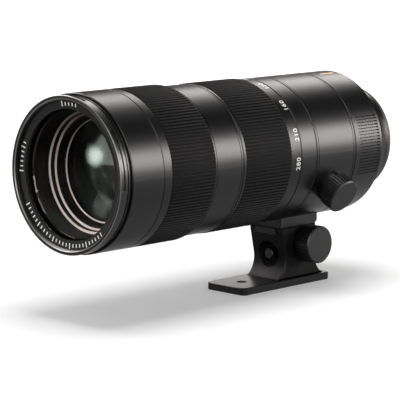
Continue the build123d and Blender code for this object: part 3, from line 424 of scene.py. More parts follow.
def copies_tree():
    """Copies of a piece, turned about the optical axis and moved on by a step each time."""
    tree = bpy.data.node_groups.new("copies_about_the_axis", "GeometryNodeTree")
    for name, kind, way in (("Geometry", "NodeSocketGeometry", "INPUT"),
                            ("Count", "NodeSocketInt", "INPUT"),
                            ("Whole Turn", "NodeSocketFloat", "INPUT"),
                            ("Step", "NodeSocketVector", "INPUT"),
                            ("Finish", "NodeSocketMaterial", "INPUT"),
                            ("Geometry", "NodeSocketGeometry", "OUTPUT")):
        tree.interface.new_socket(name=name, in_out=way, socket_type=kind)
    make = tree.nodes.new
    link = tree.links.new
    given = make("NodeGroupInput")
    result = make("NodeGroupOutput")
    row = make("GeometryNodeMeshLine")
    row.mode = "OFFSET"
    link(given.outputs["Count"], row.inputs["Count"])
    link(given.outputs["Step"], row.inputs["Offset"])
    index = make("GeometryNodeInputIndex")
    share = calculation(tree, "DIVIDE", index.outputs["Index"], given.outputs["Count"])
    angle = calculation(tree, "MULTIPLY", share, given.outputs["Whole Turn"])
    turning = make("FunctionNodeAxisAngleToRotation")
    turning.inputs["Axis"].default_value = (0.0, 1.0, 0.0)
    link(angle, turning.inputs["Angle"])
    copies = make("GeometryNodeInstanceOnPoints")
    link(row.outputs["Mesh"], copies.inputs["Points"])
    link(given.outputs["Geometry"], copies.inputs["Instance"])
    link(turning.outputs["Rotation"], copies.inputs["Rotation"])
    real = make("GeometryNodeRealizeInstances")
    link(copies.outputs["Instances"], real.inputs["Geometry"])
    finish = make("GeometryNodeSetMaterial")
    link(real.outputs["Geometry"], finish.inputs["Geometry"])
    link(given.outputs["Finish"], finish.inputs["Material"])
    link(finish.outputs["Geometry"], result.inputs["Geometry"])
    return tree


COPIES = copies_tree()


def repeated(piece, count, finish, whole_turn=math.tau, step=(0.0, 0.0, 0.0)):
    """Plain mesh of count copies of the piece."""
    maker = piece.modifiers.new("copies", "NODES")
    maker.node_group = COPIES
    maker[input_socket(COPIES, "Count")] = count
    maker[input_socket(COPIES, "Whole Turn")] = whole_turn
    maker[input_socket(COPIES, "Step")] = step
    maker[input_socket(COPIES, "Finish")] = finish
    bpy.context.view_layer.update()
    graph = bpy.context.evaluated_depsgraph_get()
    mesh = bpy.data.meshes.new_from_object(piece.evaluated_get(graph))
    piece.modifiers.remove(maker)
    old = piece.data
    piece.data = mesh
    bpy.data.meshes.remove(old)
    return piece


# Surface effects

def effect_group(name, inputs):
    """Shader node group that gives a colour, a roughness and a height, and its end nodes."""
    group = bpy.data.node_groups.new(name, "ShaderNodeTree")
    for label, kind, value in inputs:
        socket = group.interface.new_socket(name=label, in_out="INPUT",
                                            socket_type="NodeSocket" + kind)
        socket.default_value = value
    for label, kind in (("Colour", "Color"), ("Roughness", "Float"), ("Height", "Float")):
        group.interface.new_socket(name=label, in_out="OUTPUT", socket_type="NodeSocket" + kind)
    return group, group.nodes.new("NodeGroupInput"), group.nodes.new("NodeGroupOutput")


def give(group, result, **values):
    """Links values to the outputs of a group."""
    for label, value in values.items():
        group.links.new(value, result.inputs[label])


def noise(tree, place, scale, detail, roughness=0.5):
    """Noise whose scale is a number or a socket."""
    node = tree.nodes.new("ShaderNodeTexNoise")
    node.inputs["Detail"].default_value = detail
    node.inputs["Roughness"].default_value = roughness
    tree.links.new(place, node.inputs["Vector"])
    if isinstance(scale, (int, float)):
        node.inputs["Scale"].default_value = scale
    else:
        tree.links.new(scale, node.inputs["Scale"])
    return node.outputs[0]


def mixed(tree, share, first, second):
    """Colour between two, which are colours or sockets."""
    node = tree.nodes.new("ShaderNodeMix")
    node.data_type = "RGBA"
    for value, label in ((share, 0), (first, 6), (second, 7)):
        if isinstance(value, tuple):
            node.inputs[label].default_value = (*value, 1.0)
        else:
            tree.links.new(value, node.inputs[label])
    return node.outputs[2]


def grain_group():
    """Fine grain over broad smudges, as on anodised metal, moulded plastic and rubber."""
    group, given, result = effect_group(
        "fine_grain",
        (("Colour", "Color", (0.02, 0.02, 0.02, 1.0)),
         ("Dusty Colour", "Color", (0.06, 0.06, 0.06, 1.0)),
         ("Dust Share", "Float", 0.1),
         ("Grain Scale", "Float", 2500.0),
         ("Smudge Scale", "Float", 40.0),
         ("Roughness", "Float", 0.4),
         ("Roughness Spread", "Float", 0.06)))
    place = group.nodes.new("ShaderNodeTexCoord").outputs["Object"]
    fine = noise(group, place, given.outputs["Grain Scale"], 2.0)
    broad = noise(group, place, given.outputs["Smudge Scale"], 4.0, 0.6)
    speck = calculation(group, "MULTIPLY_ADD", fine, *SPECK, clamp=True)
    smudge = calculation(group, "MULTIPLY_ADD", broad, *SMUDGE, clamp=True)
    dust = calculation(group, "MULTIPLY", speck, smudge)
    share = calculation(group, "MULTIPLY", dust, given.outputs["Dust Share"], clamp=True)
    colour = mixed(group, share, given.outputs["Colour"], given.outputs["Dusty Colour"])
    swing = calculation(group, "SUBTRACT", broad, 0.5)
    grainy = calculation(group, "MULTIPLY_ADD", fine, *GRAIN_SWING)
    total = calculation(group, "ADD", swing, grainy)
    rough = calculation(group, "MULTIPLY_ADD", total, given.outputs["Roughness Spread"],
                        given.outputs["Roughness"])
    give(group, result, Colour=colour, Roughness=rough, Height=fine)
    return group


def lathe_group():
    """Fine turned lines about the optical axis, for machined metal and painted rings."""
    group, given, result = effect_group(
        "turned_lines",
        (("Colour", "Color", (0.5, 0.5, 0.5, 1.0)),
         ("Line Colour", "Color", (0.3, 0.3, 0.3, 1.0)),
         ("Lines per Metre", "Float", 6000.0),
         ("Line Share", "Float", 0.3),
         ("Roughness", "Float", 0.3),
         ("Roughness Spread", "Float", 0.1)))
    place = group.nodes.new("ShaderNodeTexCoord").outputs["Object"]
    parts = group.nodes.new("ShaderNodeSeparateXYZ")
    group.links.new(place, parts.inputs[0])
    across = calculation(group, "MULTIPLY", parts.outputs["X"], parts.outputs["X"])
    upright = calculation(group, "MULTIPLY", parts.outputs["Z"], parts.outputs["Z"])
    radius = calculation(group, "SQRT", calculation(group, "ADD", across, upright))
    flat = group.nodes.new("ShaderNodeCombineXYZ")
    group.links.new(radius, flat.inputs["X"])
    group.links.new(parts.outputs["Y"], flat.inputs["Y"])
    lines = noise(group, flat.outputs[0], given.outputs["Lines per Metre"], 3.0, 0.6)
    broad = noise(group, place, LATHE_SMUDGE_SCALE, 3.0)
    share = calculation(group, "MULTIPLY", lines, given.outputs["Line Share"], clamp=True)
    colour = mixed(group, share, given.outputs["Colour"], given.outputs["Line Colour"])
    both = calculation(group, "ADD", lines, broad)
    swing = calculation(group, "SUBTRACT", both, 1.0)
    rough = calculation(group, "MULTIPLY_ADD", swing, given.outputs["Roughness Spread"],
                        given.outputs["Roughness"])
    give(group, result, Colour=colour, Roughness=rough, Height=lines)
    return group


def painted_light_below_group():
    """Turned metal inside the front with painted light: it brightens towards its lower side, away
    from the knobs.
    """
    group, given, result = effect_group(
        "painted_light_below",
        (("Colour", "Color", (0.5, 0.5, 0.5, 1.0)),
         ("Dim Colour", "Color", (0.1, 0.1, 0.1, 1.0)),
         ("Fade Length", "Float", 0.05),
         ("Roughness", "Float", 0.4)))
    place = group.nodes.new("ShaderNodeTexCoord").outputs["Object"]
    parts = group.nodes.new("ShaderNodeSeparateXYZ")
    group.links.new(place, parts.inputs[0])
    side = calculation(group, "MULTIPLY", parts.outputs["X"], LIT_SIDE_LEAN)
    low = calculation(group, "ADD", parts.outputs["Z"], side)
    share = calculation(group, "DIVIDE", low, given.outputs["Fade Length"])
    share = calculation(group, "SUBTRACT", LIT_START, share, clamp=True)
    fine = noise(group, place, LIT_GRAIN_SCALE, 3.0, 0.6)
    share = calculation(group, "MULTIPLY_ADD", fine, LIT_GRAIN_SHARE, share, clamp=True)
    # Painted light: the pale colour below, the dim one above
    colour = mixed(group, share, given.outputs["Dim Colour"], given.outputs["Colour"])
    rough = calculation(group, "MULTIPLY_ADD", fine, LIT_ROUGHNESS_SPREAD,
                        given.outputs["Roughness"])
    give(group, result, Colour=colour, Roughness=rough, Height=fine)
    return group


GRAIN = grain_group()
LATHE = lathe_group()
PAINTED_LIGHT_BELOW = painted_light_below_group()


def finished_surface(name, group, values, bump=0.1, **shader):
    """Material of one effect group and one shader; shader values are set on its own sockets."""
    material = bpy.data.materials.new(name)
    material.use_nodes = True
    tree = material.node_tree
    principled = tree.nodes["Principled BSDF"]
    effect = tree.nodes.new("ShaderNodeGroup")
    effect.node_tree = group
    for label, value in values.items():
        socket = effect.inputs[label]
        socket.default_value = (*value, 1.0) if isinstance(value, tuple) else value
    for label, value in shader.items():
        principled.inputs[label.replace("_", " ")].default_value = value
    tree.links.new(effect.outputs["Colour"], principled.inputs["Base Color"])
    tree.links.new(effect.outputs["Roughness"], principled.inputs["Roughness"])
    relief = tree.nodes.new("ShaderNodeBump")
    relief.inputs["Strength"].default_value = bump
    relief.inputs["Distance"].default_value = BUMP_DISTANCE
    tree.links.new(effect.outputs["Height"], relief.inputs["Height"])
    tree.links.new(relief.outputs["Normal"], principled.inputs["Normal"])
    return material


def grained(name, colour, dusty, dust, grain, smudge, rough, spread, **rest):
    """Grained finish: colour, dusty colour and its share, scales of grain and smudges."""
    values = {"Colour": colour, "Dusty Colour": dusty, "Dust Share": dust, "Grain Scale": grain,
              "Smudge Scale": smudge, "Roughness": rough, "Roughness Spread": spread}
    return finished_surface(name, GRAIN, values, **rest)


def lathed(name, colour, line, density, share, rough, spread, **rest):
    """Turned finish: colour, line colour, lines per metre and their share."""
    values = {"Colour": colour, "Line Colour": line, "Lines per Metre": density,
              "Line Share": share, "Roughness": rough, "Roughness Spread": spread}
    return finished_surface(name, LATHE, values, **rest)


def glass(name, tint, rough, spread):
    """Clear glass with a coating: the tint colours what it mirrors."""
    material = grained(name, CLEAR, CLEAR, dust=0.0, grain=900.0, smudge=35.0, rough=rough,
                       spread=spread, bump=0.0, IOR=GLASS_INDEX, Specular_Tint=(*tint, 1.0))
    material.node_tree.nodes["Principled BSDF"].inputs["Transmission Weight"].default_value = 1.0
    return material


SATIN_BLACK = grained("satin_black_anodising", (0.0018, 0.0017, 0.0018), (0.012, 0.011, 0.0105),
                      0.2, 3200.0, 28.0, 0.325, 0.05, bump=0.08, Specular_IOR_Level=0.16)
RIM_BLACK = grained("rim_black_anodising", (0.004, 0.004, 0.004), (0.02, 0.02, 0.02), 0.2,
                    3600.0, 35.0, 0.30, 0.06, bump=0.08, Specular_IOR_Level=0.25)
NAME_BLACK = lathed("name_ring_black", (0.005, 0.005, 0.005), (0.012, 0.012, 0.012), 5200.0, 0.4,
                    0.46, 0.08, bump=0.12, Specular_IOR_Level=0.15)
INNER_BLACK = lathed("inner_matt_black", (0.0022, 0.0012, 0.0010), (0.005, 0.003, 0.0025), 2600.0,
                     0.5, 0.78, 0.10, bump=0.2, Specular_IOR_Level=0.10)
FOOT_BLACK = grained("foot_black_anodising", (0.003, 0.003, 0.003), (0.016, 0.016, 0.015), 0.3,
                     2600.0, 45.0, 0.33, 0.06, bump=0.10, Specular_IOR_Level=0.15)
BLOCK_BLACK = grained("block_black_anodising", (0.003, 0.003, 0.003), (0.014, 0.014, 0.013), 0.3,
                      2600.0, 45.0, 0.44, 0.06, bump=0.10, Specular_IOR_Level=0.05)
KNOB_BLACK = grained("knob_black", (0.004, 0.004, 0.004), (0.018, 0.018, 0.018), 0.3,
                     2400.0, 60.0, 0.42, 0.08, bump=0.14, Specular_IOR_Level=0.15)
RUBBER = grained("grip_rubber", (0.0026, 0.0025, 0.0024), (0.012, 0.0115, 0.011), 0.3,
                 2100.0, 50.0, 0.58, 0.10, bump=0.30, Specular_IOR_Level=0.05)
BRASS_BLACK = lathed("blackened_brass", (0.014, 0.012, 0.010), (0.04, 0.03, 0.02), 2600.0, 0.4,
                     0.6, 0.10, bump=0.15, Specular_IOR_Level=0.30)
BLADE_BLACK = grained("blade_black", (0.018, 0.018, 0.019), (0.05, 0.05, 0.05), 0.3,
                      1800.0, 70.0, 0.42, 0.10, bump=0.1, Specular_IOR_Level=0.40)
STEEL = lathed("steel", (0.50, 0.50, 0.50), (0.30, 0.30, 0.30), 4000.0, 0.5, 0.32, 0.14,
               bump=0.12, Metallic=1.0)
MOTOR_STEEL = lathed("motor_can_steel", (0.46, 0.45, 0.44), (0.26, 0.26, 0.26), 2600.0, 0.5,
                     0.38, 0.14, bump=0.15, Metallic=1.0)
CHROME = lathed("mount_chrome", (0.70, 0.69, 0.67), (0.42, 0.41, 0.40), 5200.0, 0.45, 0.24, 0.12,
                bump=0.08, Metallic=1.0)
GOLD = grained("contact_gold", (0.83, 0.60, 0.25), (0.45, 0.32, 0.14), 0.4, 3000.0, 200.0, 0.22,
               0.12, bump=0.05, Metallic=1.0)
PLASTIC = grained("black_plastic", (0.018, 0.018, 0.018), (0.06, 0.06, 0.06), 0.25,
                  2800.0, 60.0, 0.52, 0.08, bump=0.2, Specular_IOR_Level=0.40)
BOARD = grained("board_lacquer", (0.012, 0.07, 0.03), (0.35, 0.30, 0.12), 0.35, 420.0, 260.0,
                0.35, 0.10, bump=0.15)
SEAL = grained("seal_rubber", (0.014, 0.014, 0.014), (0.05, 0.05, 0.05), 0.3, 2400.0, 60.0,
               0.6, 0.10, bump=0.3, Specular_IOR_Level=0.30)
SCREW_BLACK = lathed("screw_black", (0.02, 0.02, 0.02), (0.09, 0.09, 0.09), 3000.0, 0.4, 0.36,
                     0.12, bump=0.1, Metallic=0.6)
SCREW_STEEL = grained("screw_steel", (0.42, 0.42, 0.43), (0.2, 0.2, 0.2), 0.4, 2600.0, 150.0,
                      0.3, 0.12, bump=0.08, Metallic=1.0)
SCALE_WHITE = grained("scale_white", (0.80, 0.80, 0.78), (0.45, 0.44, 0.42), 0.25, 4200.0, 300.0,
                      0.5, 0.10, bump=0.15)
MARK_ORANGE = grained("mark_orange", (0.95, 0.42, 0.03), (0.35, 0.12, 0.02), 0.35, 3600.0, 260.0,
                      0.45, 0.10, bump=0.15)
# Painted light: pale pinkish towards the bottom, fading to nearly black above
CELL_EDGE_PAINTED_LIGHT = finished_surface("cell_edge_painted_light", PAINTED_LIGHT_BELOW, {
    "Colour": (0.50, 0.44, 0.41), "Dim Colour": (0.035, 0.032, 0.030), "Fade Length": 0.045,
    "Roughness": 0.5})
# Painted highlight: lighter grey on the bevels of the front rim
RIM_PAINTED_HIGHLIGHT = lathed("rim_painted_highlight", (0.16, 0.155, 0.15), (0.08, 0.08, 0.08), 5200.0, 0.4, 0.30, 0.10,
                  bump=0.08)
# Painted shade: near black for the grooves and pits of the panels, the button's recess and the
# foot's joint
PAINTED_SHADE_BLACK = grained("painted_shade_black", (0.0012, 0.0012, 0.0012), (0.004, 0.004, 0.004), 0.2,
                       2600.0, 60.0, 0.7, 0.08, bump=0.1, Specular_IOR_Level=0.05)
FRONT_GLASS = glass("front_glass", (0.03, 0.06, 0.045), 0.012, 0.006)
INNER_GLASS = glass("inner_glass", (0.06, 0.11, 0.08), 0.13, 0.02)
DEEP_GLASS = glass("deep_glass", (0.06, 0.04, 0.08), 0.03, 0.02)

SLOT_FINISH = {
    "satin_metal": SATIN_BLACK, "inner_metal": INNER_BLACK, "grip_rubber": RUBBER,
    "lens_glass": DEEP_GLASS, "foot_metal": FOOT_BLACK, "black_brass": BRASS_BLACK,
    "blade_steel": BLADE_BLACK, "steel": STEEL, "motor_can": MOTOR_STEEL,
    "mount_chrome": CHROME, "contact_gold": GOLD, "black_plastic": PLASTIC, "board": BOARD,
}
NODE_FINISH = {
    "front_ring": RIM_BLACK, "name_ring": NAME_BLACK, "collar_knob": KNOB_BLACK,
    "foot_knob": KNOB_BLACK, "release_button": KNOB_BLACK, "foot_block": BLOCK_BLACK,
    "weather_seal": SEAL,
}


def finish_nodes():
    """Gives each node of the frame its own finish, or that of its slot."""
    slots = {row["node"]: row["material_slot"] for row in frame["record"]["subparts"]}
    for name, node in frame["nodes"].items():
        finish = NODE_FINISH.get(name) or SLOT_FINISH[slots[name]]
        node.data.materials.clear()
        node.data.materials.append(finish)


def placed(piece, body, slot, finish, *replaced):
    """Gives a finished piece its material and body, and hides the nodes it replaces. The slot is
    not used.
    """
    piece.data.materials.clear()
    piece.data.materials.append(finish)
    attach(piece, body)
    if replaced:
        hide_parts(*replaced)


# Rubber grips

def rib(radius, ends, count):
    """One rib with leaning sides and a rounded crown, at the top of the grip."""
    pitch = math.tau * radius / count
    foot = pitch * RIB_SIDE_SHARE / 2
    crown = pitch * RIB_TOP_SHARE / 2
    height = RIB_CREST - RIB_BED
    lowest = -height - RIB_SINK
    side = ((foot, lowest), (crown * FLANK_SHARE, -height * FLANK_DROP_SHARE),
            (crown * EDGE_SHARE, -EDGE_DROP))
    shape = [(-across, rise) for across, rise in side] + [(0.0, 0.0)] + list(side[::-1])
    stations = [(ends[0] + inset, drop) for inset, drop in RIB_END_STEPS]
    stations += [(ends[1] - inset, drop) for inset, drop in RIB_END_STEPS[::-1]]
    rings = [[Vector((across, along, radius + max(rise - drop * height, lowest))) * MM
              for across, rise in shape] for along, drop in stations]
    return finished_mesh("rib", *stacked_rings(rings), sharp=50.0)


def ribbed_grip(name, radius, bore, ends, count):
    """Rubber sleeve with ribs all round."""
    ribs = repeated(rib(radius, ends, count), count, RUBBER)
    bed = bore + RIB_BED
    front, rear = ends
    sleeve = turned_ring("bed", ((bore, front), (bed - BED_BEVEL, front),
                                 (bed, front + BED_BEVEL), (bed, rear - BED_BEVEL),
                                 (bed - BED_BEVEL, rear), (bore, rear)))
    return merged(name, [sleeve, ribs])


def add_grips():
    """Ribbed grips of the focus ring and the zoom ring."""
    for name, *shape in GRIPS:
        placed(ribbed_grip(name + "_grip_ribs", *shape), name + "_ring_body", "grip_rubber",
               RUBBER, name + "_grip")


# Marks

def number_parts(words, radius, turn, middle):
    """Number wrapped round the barrel, its top towards the front."""
    curve = bpy.data.curves.new("number", "FONT")
    curve.body = words
    curve.size = DIGIT_HEIGHT * FONT_SIZE_SHARE
    curve.space_character = DIGIT_SPACING
    curve.align_x = "CENTER"
    curve.offset = DIGIT_BOLD
    curve.extrude = PAINT_THICKNESS
    curve.resolution_u = 6
    holder = in_scene("number", curve)
    bpy.context.view_layer.update()
    mesh = bpy.data.meshes.new_from_object(holder.evaluated_get(
        bpy.context.evaluated_depsgraph_get()))
    points = []
    for vertex in mesh.vertices:
        across, up, out = vertex.co
        here = turn - math.degrees(across / radius)
        points.append(at_turn(radius + out, here, middle + DIGIT_HEIGHT / 2 - up))
    faces = [tuple(face.vertices) for face in mesh.polygons]
    bpy.data.objects.remove(holder)
    bpy.data.curves.remove(curve)
    bpy.data.meshes.remove(mesh)
    return points, faces


def add_marks():
    """Numbers of the zoom scale and the two index bars behind it."""
    numbers = joined_parts("zoom_scale_numbers", [
        number_parts(words, SCALE_RADIUS, turn, SCALE_MIDDLE) for words, turn in SCALE_MARKS])
    placed(numbers, "zoom_ring_body", "grip_rubber", SCALE_WHITE)
    line = joined_parts("zoom_index_line", [
        arc_patch(REAR_RADIUS, *ZOOM_INDEX, PAINT_THICKNESS)])
    placed(line, "lens_body", "satin_metal", SCALE_WHITE)
    bar = joined_parts("mount_index_bar", [
        arc_patch(REAR_RADIUS, *MOUNT_INDEX, PAINT_THICKNESS)])
    placed(bar, "lens_body", "satin_metal", MARK_ORANGE)


def add_panel_shade():
    """Painted shade: dark strips in the grooves of the two ribbed panels, and dark patches for the
    pits at their rear ends.
    """
    pitch = (PANEL_TURNS[1] - PANEL_TURNS[0]) / PANEL_GROOVES
    for side, sweep, first in (("right", pitch, PANEL_TURNS[0] + pitch / 2),
                               ("left", -pitch, -PANEL_TURNS[0] - pitch / 2)):
        parts = []
        for ends, half in ((PANEL_ENDS, PANEL_LINE / 2), (PIT_ENDS, PIT_WIDTH / 2)):
            lean = math.degrees(half / REAR_RADIUS)
            parts.append(arc_patch(REAR_RADIUS, (first - lean, first + lean), ends,
                                   PAINT_THICKNESS, 2))
        line = joined_parts("panel_shade_" + side, parts)
        lines = repeated(line, PANEL_GROOVES, PAINTED_SHADE_BLACK,
                         math.radians(sweep * PANEL_GROOVES))
        placed(lines, "lens_body", "satin_metal", PAINTED_SHADE_BLACK)


# Front end

def name_cone(turn, share, lift):
    """Point on the sloping face of the name ring, from its outer edge to its inner one."""
    radius = NAME_OUTER[0] + (NAME_INNER[0] - NAME_OUTER[0]) * share
    along = NAME_OUTER[1] + (NAME_INNER[1] - NAME_OUTER[1]) * share
    return at_turn(radius, turn, along - lift)


def name_tick(turn, shares):
    """Painted tick on the name ring, from one share of the face to the other."""
    lean = math.degrees(TICK_HALF_WIDTH / NAME_INNER[0])
    corners = ((-lean, TICK_SINK), (-lean, TICK_LIFT), (lean, TICK_LIFT), (lean, TICK_SINK))
    return stacked_rings([[name_cone(turn + side, share, lift) for side, lift in corners]
                          for share in shares])


def add_name_ring_marks():
    """Plain ticks, long and short in turn, where such a ring carries its markings."""
    parts = []
    for first, last, step in NAME_TICKS:
        count = int(round((last - first) / step))
        for index in range(count + 1):
            shares = SHORT_TICK if index % LONG_TICK_EVERY else LONG_TICK
            parts.append(name_tick(first + step * index, shares))
    ticks = joined_parts("name_ring_ticks", parts)
    placed(ticks, "lens_body", "satin_metal", SCALE_WHITE)


def add_rim_edges():
    """Bevels of the front rim, in a lighter grey as a painted highlight."""
    parts = [turned_ring(name, profile, RIM_SEGMENTS) for name, profile in RIM_EDGES]
    placed(merged("rim_painted_highlights", parts), "lens_body", "satin_metal", RIM_PAINTED_HIGHLIGHT)


def add_lenses():
    """Lenses with finely polished faces, in place of the plainer ones of the frame."""
    glasses = {"front": FRONT_GLASS, "second": INNER_GLASS}
    for name, *shape in LENSES:
        placed(lens_piece(name + "_lens", *shape), LENS_BODIES.get(name, "lens_body"),
               "lens_glass", glasses.get(name, DEEP_GLASS), name + "_element")


def add_cell_edges():
    """Turned edges of the front cell, seen through the front glass, made bright below with painted
    light.
    """
    for name, radius, along, width, depth in CELL_EDGES:
        lip = radius - width
        edge = turned_ring(name, ((radius, along), (radius, along + depth * CELL_EDGE_BACK),
                                  (lip, along + depth), (lip, along + depth * CELL_EDGE_LIP),
                                  (radius - width * CELL_EDGE_FRONT, along)))
        placed(edge, "lens_body", "inner_metal", CELL_EDGE_PAINTED_LIGHT)


def add_hood_dot():
    """Index dot of the hood, in the window on the foot knob's side."""
    barrel, middle, station, radius = HOOD_DOT
    rings = []
    for lift, share in DOT_RINGS:
        ring = []
        for index in range(DOT_SEGMENTS):
            angle = math.tau * index / DOT_SEGMENTS
            turn = middle + math.degrees(radius * share * math.cos(angle) / barrel)
            ring.append(at_turn(barrel + lift, turn, station + radius * share * math.sin(angle)))
        rings.append(ring)
    dot = finished_mesh("hood_index_dot", *stacked_rings(rings))
    placed(dot, "lens_body", "satin_metal", SCALE_WHITE)


def add_recess_painted_shade():
    """Painted shade: a dark sheet inside the recess round the release button."""
    recess_shade = turned_ring("recess_painted_shade", RECESS_PAINTED_SHADE, RECESS_SEGMENTS)
    recess_shade.data.transform(Matrix.Translation((0.0, 0.0, RECESS_HEIGHT * MM)))
    placed(recess_shade, "foot_body", "foot_metal", PAINTED_SHADE_BLACK)


def add_foot_joint():
    """Painted shade: dark line where the foot's top meets the collar's rail."""
    station, height, half_width, half_height = FOOT_JOINT
    corners = ((-1, -1), (1, -1), (1, 1), (-1, 1))
    rings = [[Vector((across * half_width, station + reach, height + rise * half_height)) * MM
              for across, rise in corners] for reach in JOINT_REACH]
    line = finished_mesh("foot_joint_shade_line", *stacked_rings(rings))
    placed(line, "foot_body", "foot_metal", PAINTED_SHADE_BLACK)


def add_filter_thread():
    """Thread lines inside the front ring."""
    ridge = helical_ridge("filter_thread", at_turn, FILTER_RADIUS, FILTER_DEPTH, FILTER_ENDS,
                          FILTER_PITCH, FILTER_STEPS)
    placed(ridge, "lens_body", "satin_metal", RIM_BLACK)


# Screws and the tripod thread

def recess_reach(angle, arms, reach, arm_half):
    """Distance to the edge of a cross or hexagon recess at an angle."""
    if arms == 6:
        sector = math.radians(60.0)
        lean = (angle % sector) - sector / 2
        return reach * math.cos(sector / 2) / math.cos(lean)
    quarter = math.radians(90.0)
    lean = abs((angle + quarter / 2) % quarter - quarter / 2)
    straight = reach / math.cos(lean)
    side = arm_half / max(math.sin(lean), 1e-6)
    return min(straight, side)


def screw_head(place, radius, length, arms, recess, arm_half, depth):
    """Head with a bevelled edge and a recess; place turns (x, y, height) to a point."""
    def ring(height, reach):
        points = []
        for index in range(HEAD_SEGMENTS):
            angle = math.tau * index / HEAD_SEGMENTS
            far = reach(angle) if callable(reach) else reach
            points.append(place(far * math.cos(angle), far * math.sin(angle), height))
        return points

    def inner(angle):
        return recess_reach(angle, arms, recess, arm_half)

    def floor(angle):
        return recess_reach(angle, arms, recess * FLOOR_REACH, arm_half * FLOOR_ARM)
    edge = HEAD_BEVEL * radius
    soft = edge * BEVEL_SOFTENING
    rings = [ring(-length, radius * HEAD_UNDERSIDE), ring(-length, radius), ring(-edge, radius),
             ring(-soft, radius - soft), ring(0.0, radius - edge), ring(0.0, inner),
             ring(-depth, floor)]
    return finished_mesh("screw", *stacked_rings(rings), sharp=30.0)


def add_screws():
    """Screws of the mount and of the foot plate, and the thread in the tripod hole."""
    def mount_place(x, y, height):
        return Vector((x, MOUNT_SCREW_FACE + height, MOUNT_SCREW_CIRCLE + y)) * MM
    screw = screw_head(mount_place, MOUNT_HEAD_RADIUS, MOUNT_HEAD_LENGTH, *MOUNT_RECESS)
    screws = repeated(screw, MOUNT_SCREW_COUNT, SCREW_STEEL)
    screws.name = "mount_screw_heads"
    placed(screws, "lens_body", "steel", SCREW_STEEL, "bayonet_screws")

    def plate_place(x, y, height):
        return Vector((x, PLATE_SCREW_PLACES[0] + y, PLATE_SCREW_FACE - height)) * MM
    screw = screw_head(plate_place, PLATE_HEAD_RADIUS, PLATE_HEAD_LENGTH, *PLATE_RECESS)
    step = (0.0, (PLATE_SCREW_PLACES[1] - PLATE_SCREW_PLACES[0]) * MM, 0.0)
    screws = repeated(screw, len(PLATE_SCREW_PLACES), SCREW_BLACK, 0.0, step)
    screws.name = "plate_screw_heads"
    placed(screws, "foot_body", "steel", SCREW_BLACK, "plate_screws")

    station, radius, low, high = TRIPOD_HOLE

    def hole_place(reach, angle, along):
        lean = math.radians(angle)
        return Vector((reach * math.cos(lean), station + reach * math.sin(lean), along)) * MM
    thread = helical_ridge("tripod_thread", hole_place, radius, TRIPOD_DEPTH,
                           (low + TRIPOD_MARGIN, high - TRIPOD_MARGIN), TRIPOD_PITCH)
    placed(thread, "foot_body", "foot_metal", FOOT_BLACK)


# Camera, lamps, world and floor

def add_camera():
    """Camera at the photograph's place and angle."""
    heading = math.radians(CAMERA_HEADING)
    drop = math.radians(CAMERA_DROP)
    roll = math.radians(CAMERA_ROLL)
    ahead = Vector((-math.sin(heading) * math.cos(drop), math.cos(heading) * math.cos(drop),
                    -math.sin(drop)))
    level = Vector((math.cos(heading), math.sin(heading), 0.0))
    above = level.cross(ahead)
    right = level * math.cos(roll) + above * math.sin(roll)
    upward = above * math.cos(roll) - level * math.sin(roll)
    data = bpy.data.cameras.new("photo_camera")
    data.lens = CAMERA_LENS
    data.sensor_width = SENSOR_WIDTH
    data.clip_start = 0.05
    data.clip_end = 50.0
    camera = in_scene("photo_camera", data)
    frame_of_view = Matrix((right, upward, -ahead)).transposed().to_4x4()
    camera.matrix_world = Matrix.Translation(CAMERA_PLACE) @ frame_of_view
    bpy.context.scene.camera = camera


def add_softbox(name, place, width, length, power, colour=(1.0, 1.0, 1.0), fill=True):
    """Softbox that faces the lens; its width lies across the optical axis."""
    data = bpy.data.lights.new(name, "AREA")
    data.shape = "RECTANGLE"
    data.size = width
    data.size_y = length
    data.energy = power
    data.color = colour
    lamp = in_scene(name, data)
    away = (Vector(place) - Vector(LIGHT_AIM)).normalized()
    across = Vector((place[2], 0.0, -place[0])).normalized()
    across = (across - away * across.dot(away)).normalized()
    lamp.matrix_world = Matrix.Translation(place) @ Matrix(
        (across, away.cross(across), away)).transposed().to_4x4()
    lamp.visible_diffuse = fill


def soften(data):
    """Lets a softbox fade from its middle to its edge."""
    data.use_nodes = True
    tree = data.node_tree
    place = tree.nodes.new("ShaderNodeNewGeometry").outputs["Parametric"]
    away = tree.nodes.new("ShaderNodeVectorMath")
    away.operation = "DISTANCE"
    tree.links.new(place, away.inputs[0])
    away.inputs[1].default_value = SOFT_MIDDLE
    fade = tree.nodes.new("ShaderNodeMapRange")
    fade.interpolation_type = "SMOOTHSTEP"
    fade.inputs["From Min"].default_value = SOFT_EDGE
    fade.inputs["From Max"].default_value = SOFT_CORE
    tree.links.new(away.outputs["Value"], fade.inputs["Value"])
    tree.links.new(fade.outputs["Result"], tree.nodes["Emission"].inputs["Strength"])


def strip_place(turn, station):
    """Place of a strip round the lens."""
    angle = math.radians(turn)
    return (STRIP_REACH * math.sin(angle), station, STRIP_REACH * math.cos(angle))


def add_lamps():
    """Strips and a low card that only make highlights, and two softboxes that also fill."""
    for name, turn, power in NEAR_STRIPS:
        add_softbox(name, strip_place(turn, STRIP_STATION), STRIP_WIDTH, STRIP_LENGTH, power,
                    WARM_WHITE, fill=False)
    for number, (turn, power) in enumerate(FAR_STRIPS):
        add_softbox("far_strip_" + str(number), strip_place(turn, FAR_STATION), STRIP_WIDTH,
                    FAR_LENGTH, power, WARM_WHITE, fill=False)
    add_softbox("low_card", *LOW_CARD, WARM_WHITE, fill=False)
    add_softbox("overhead_softbox", *OVERHEAD_BOX)
    add_softbox("front_softbox", *FRONT_BOX)
    soften(bpy.data.lights["front_softbox"])


def fade_along(tree, value, ends, levels):
    """Value that goes from one level to another between two ends."""
    node = tree.nodes.new("ShaderNodeMapRange")
    for label, number in (("From Min", ends[0]), ("From Max", ends[1]),
                          ("To Min", levels[0]), ("To Max", levels[1])):
        node.inputs[label].default_value = number
    tree.links.new(value, node.inputs["Value"])
    return node.outputs["Result"]


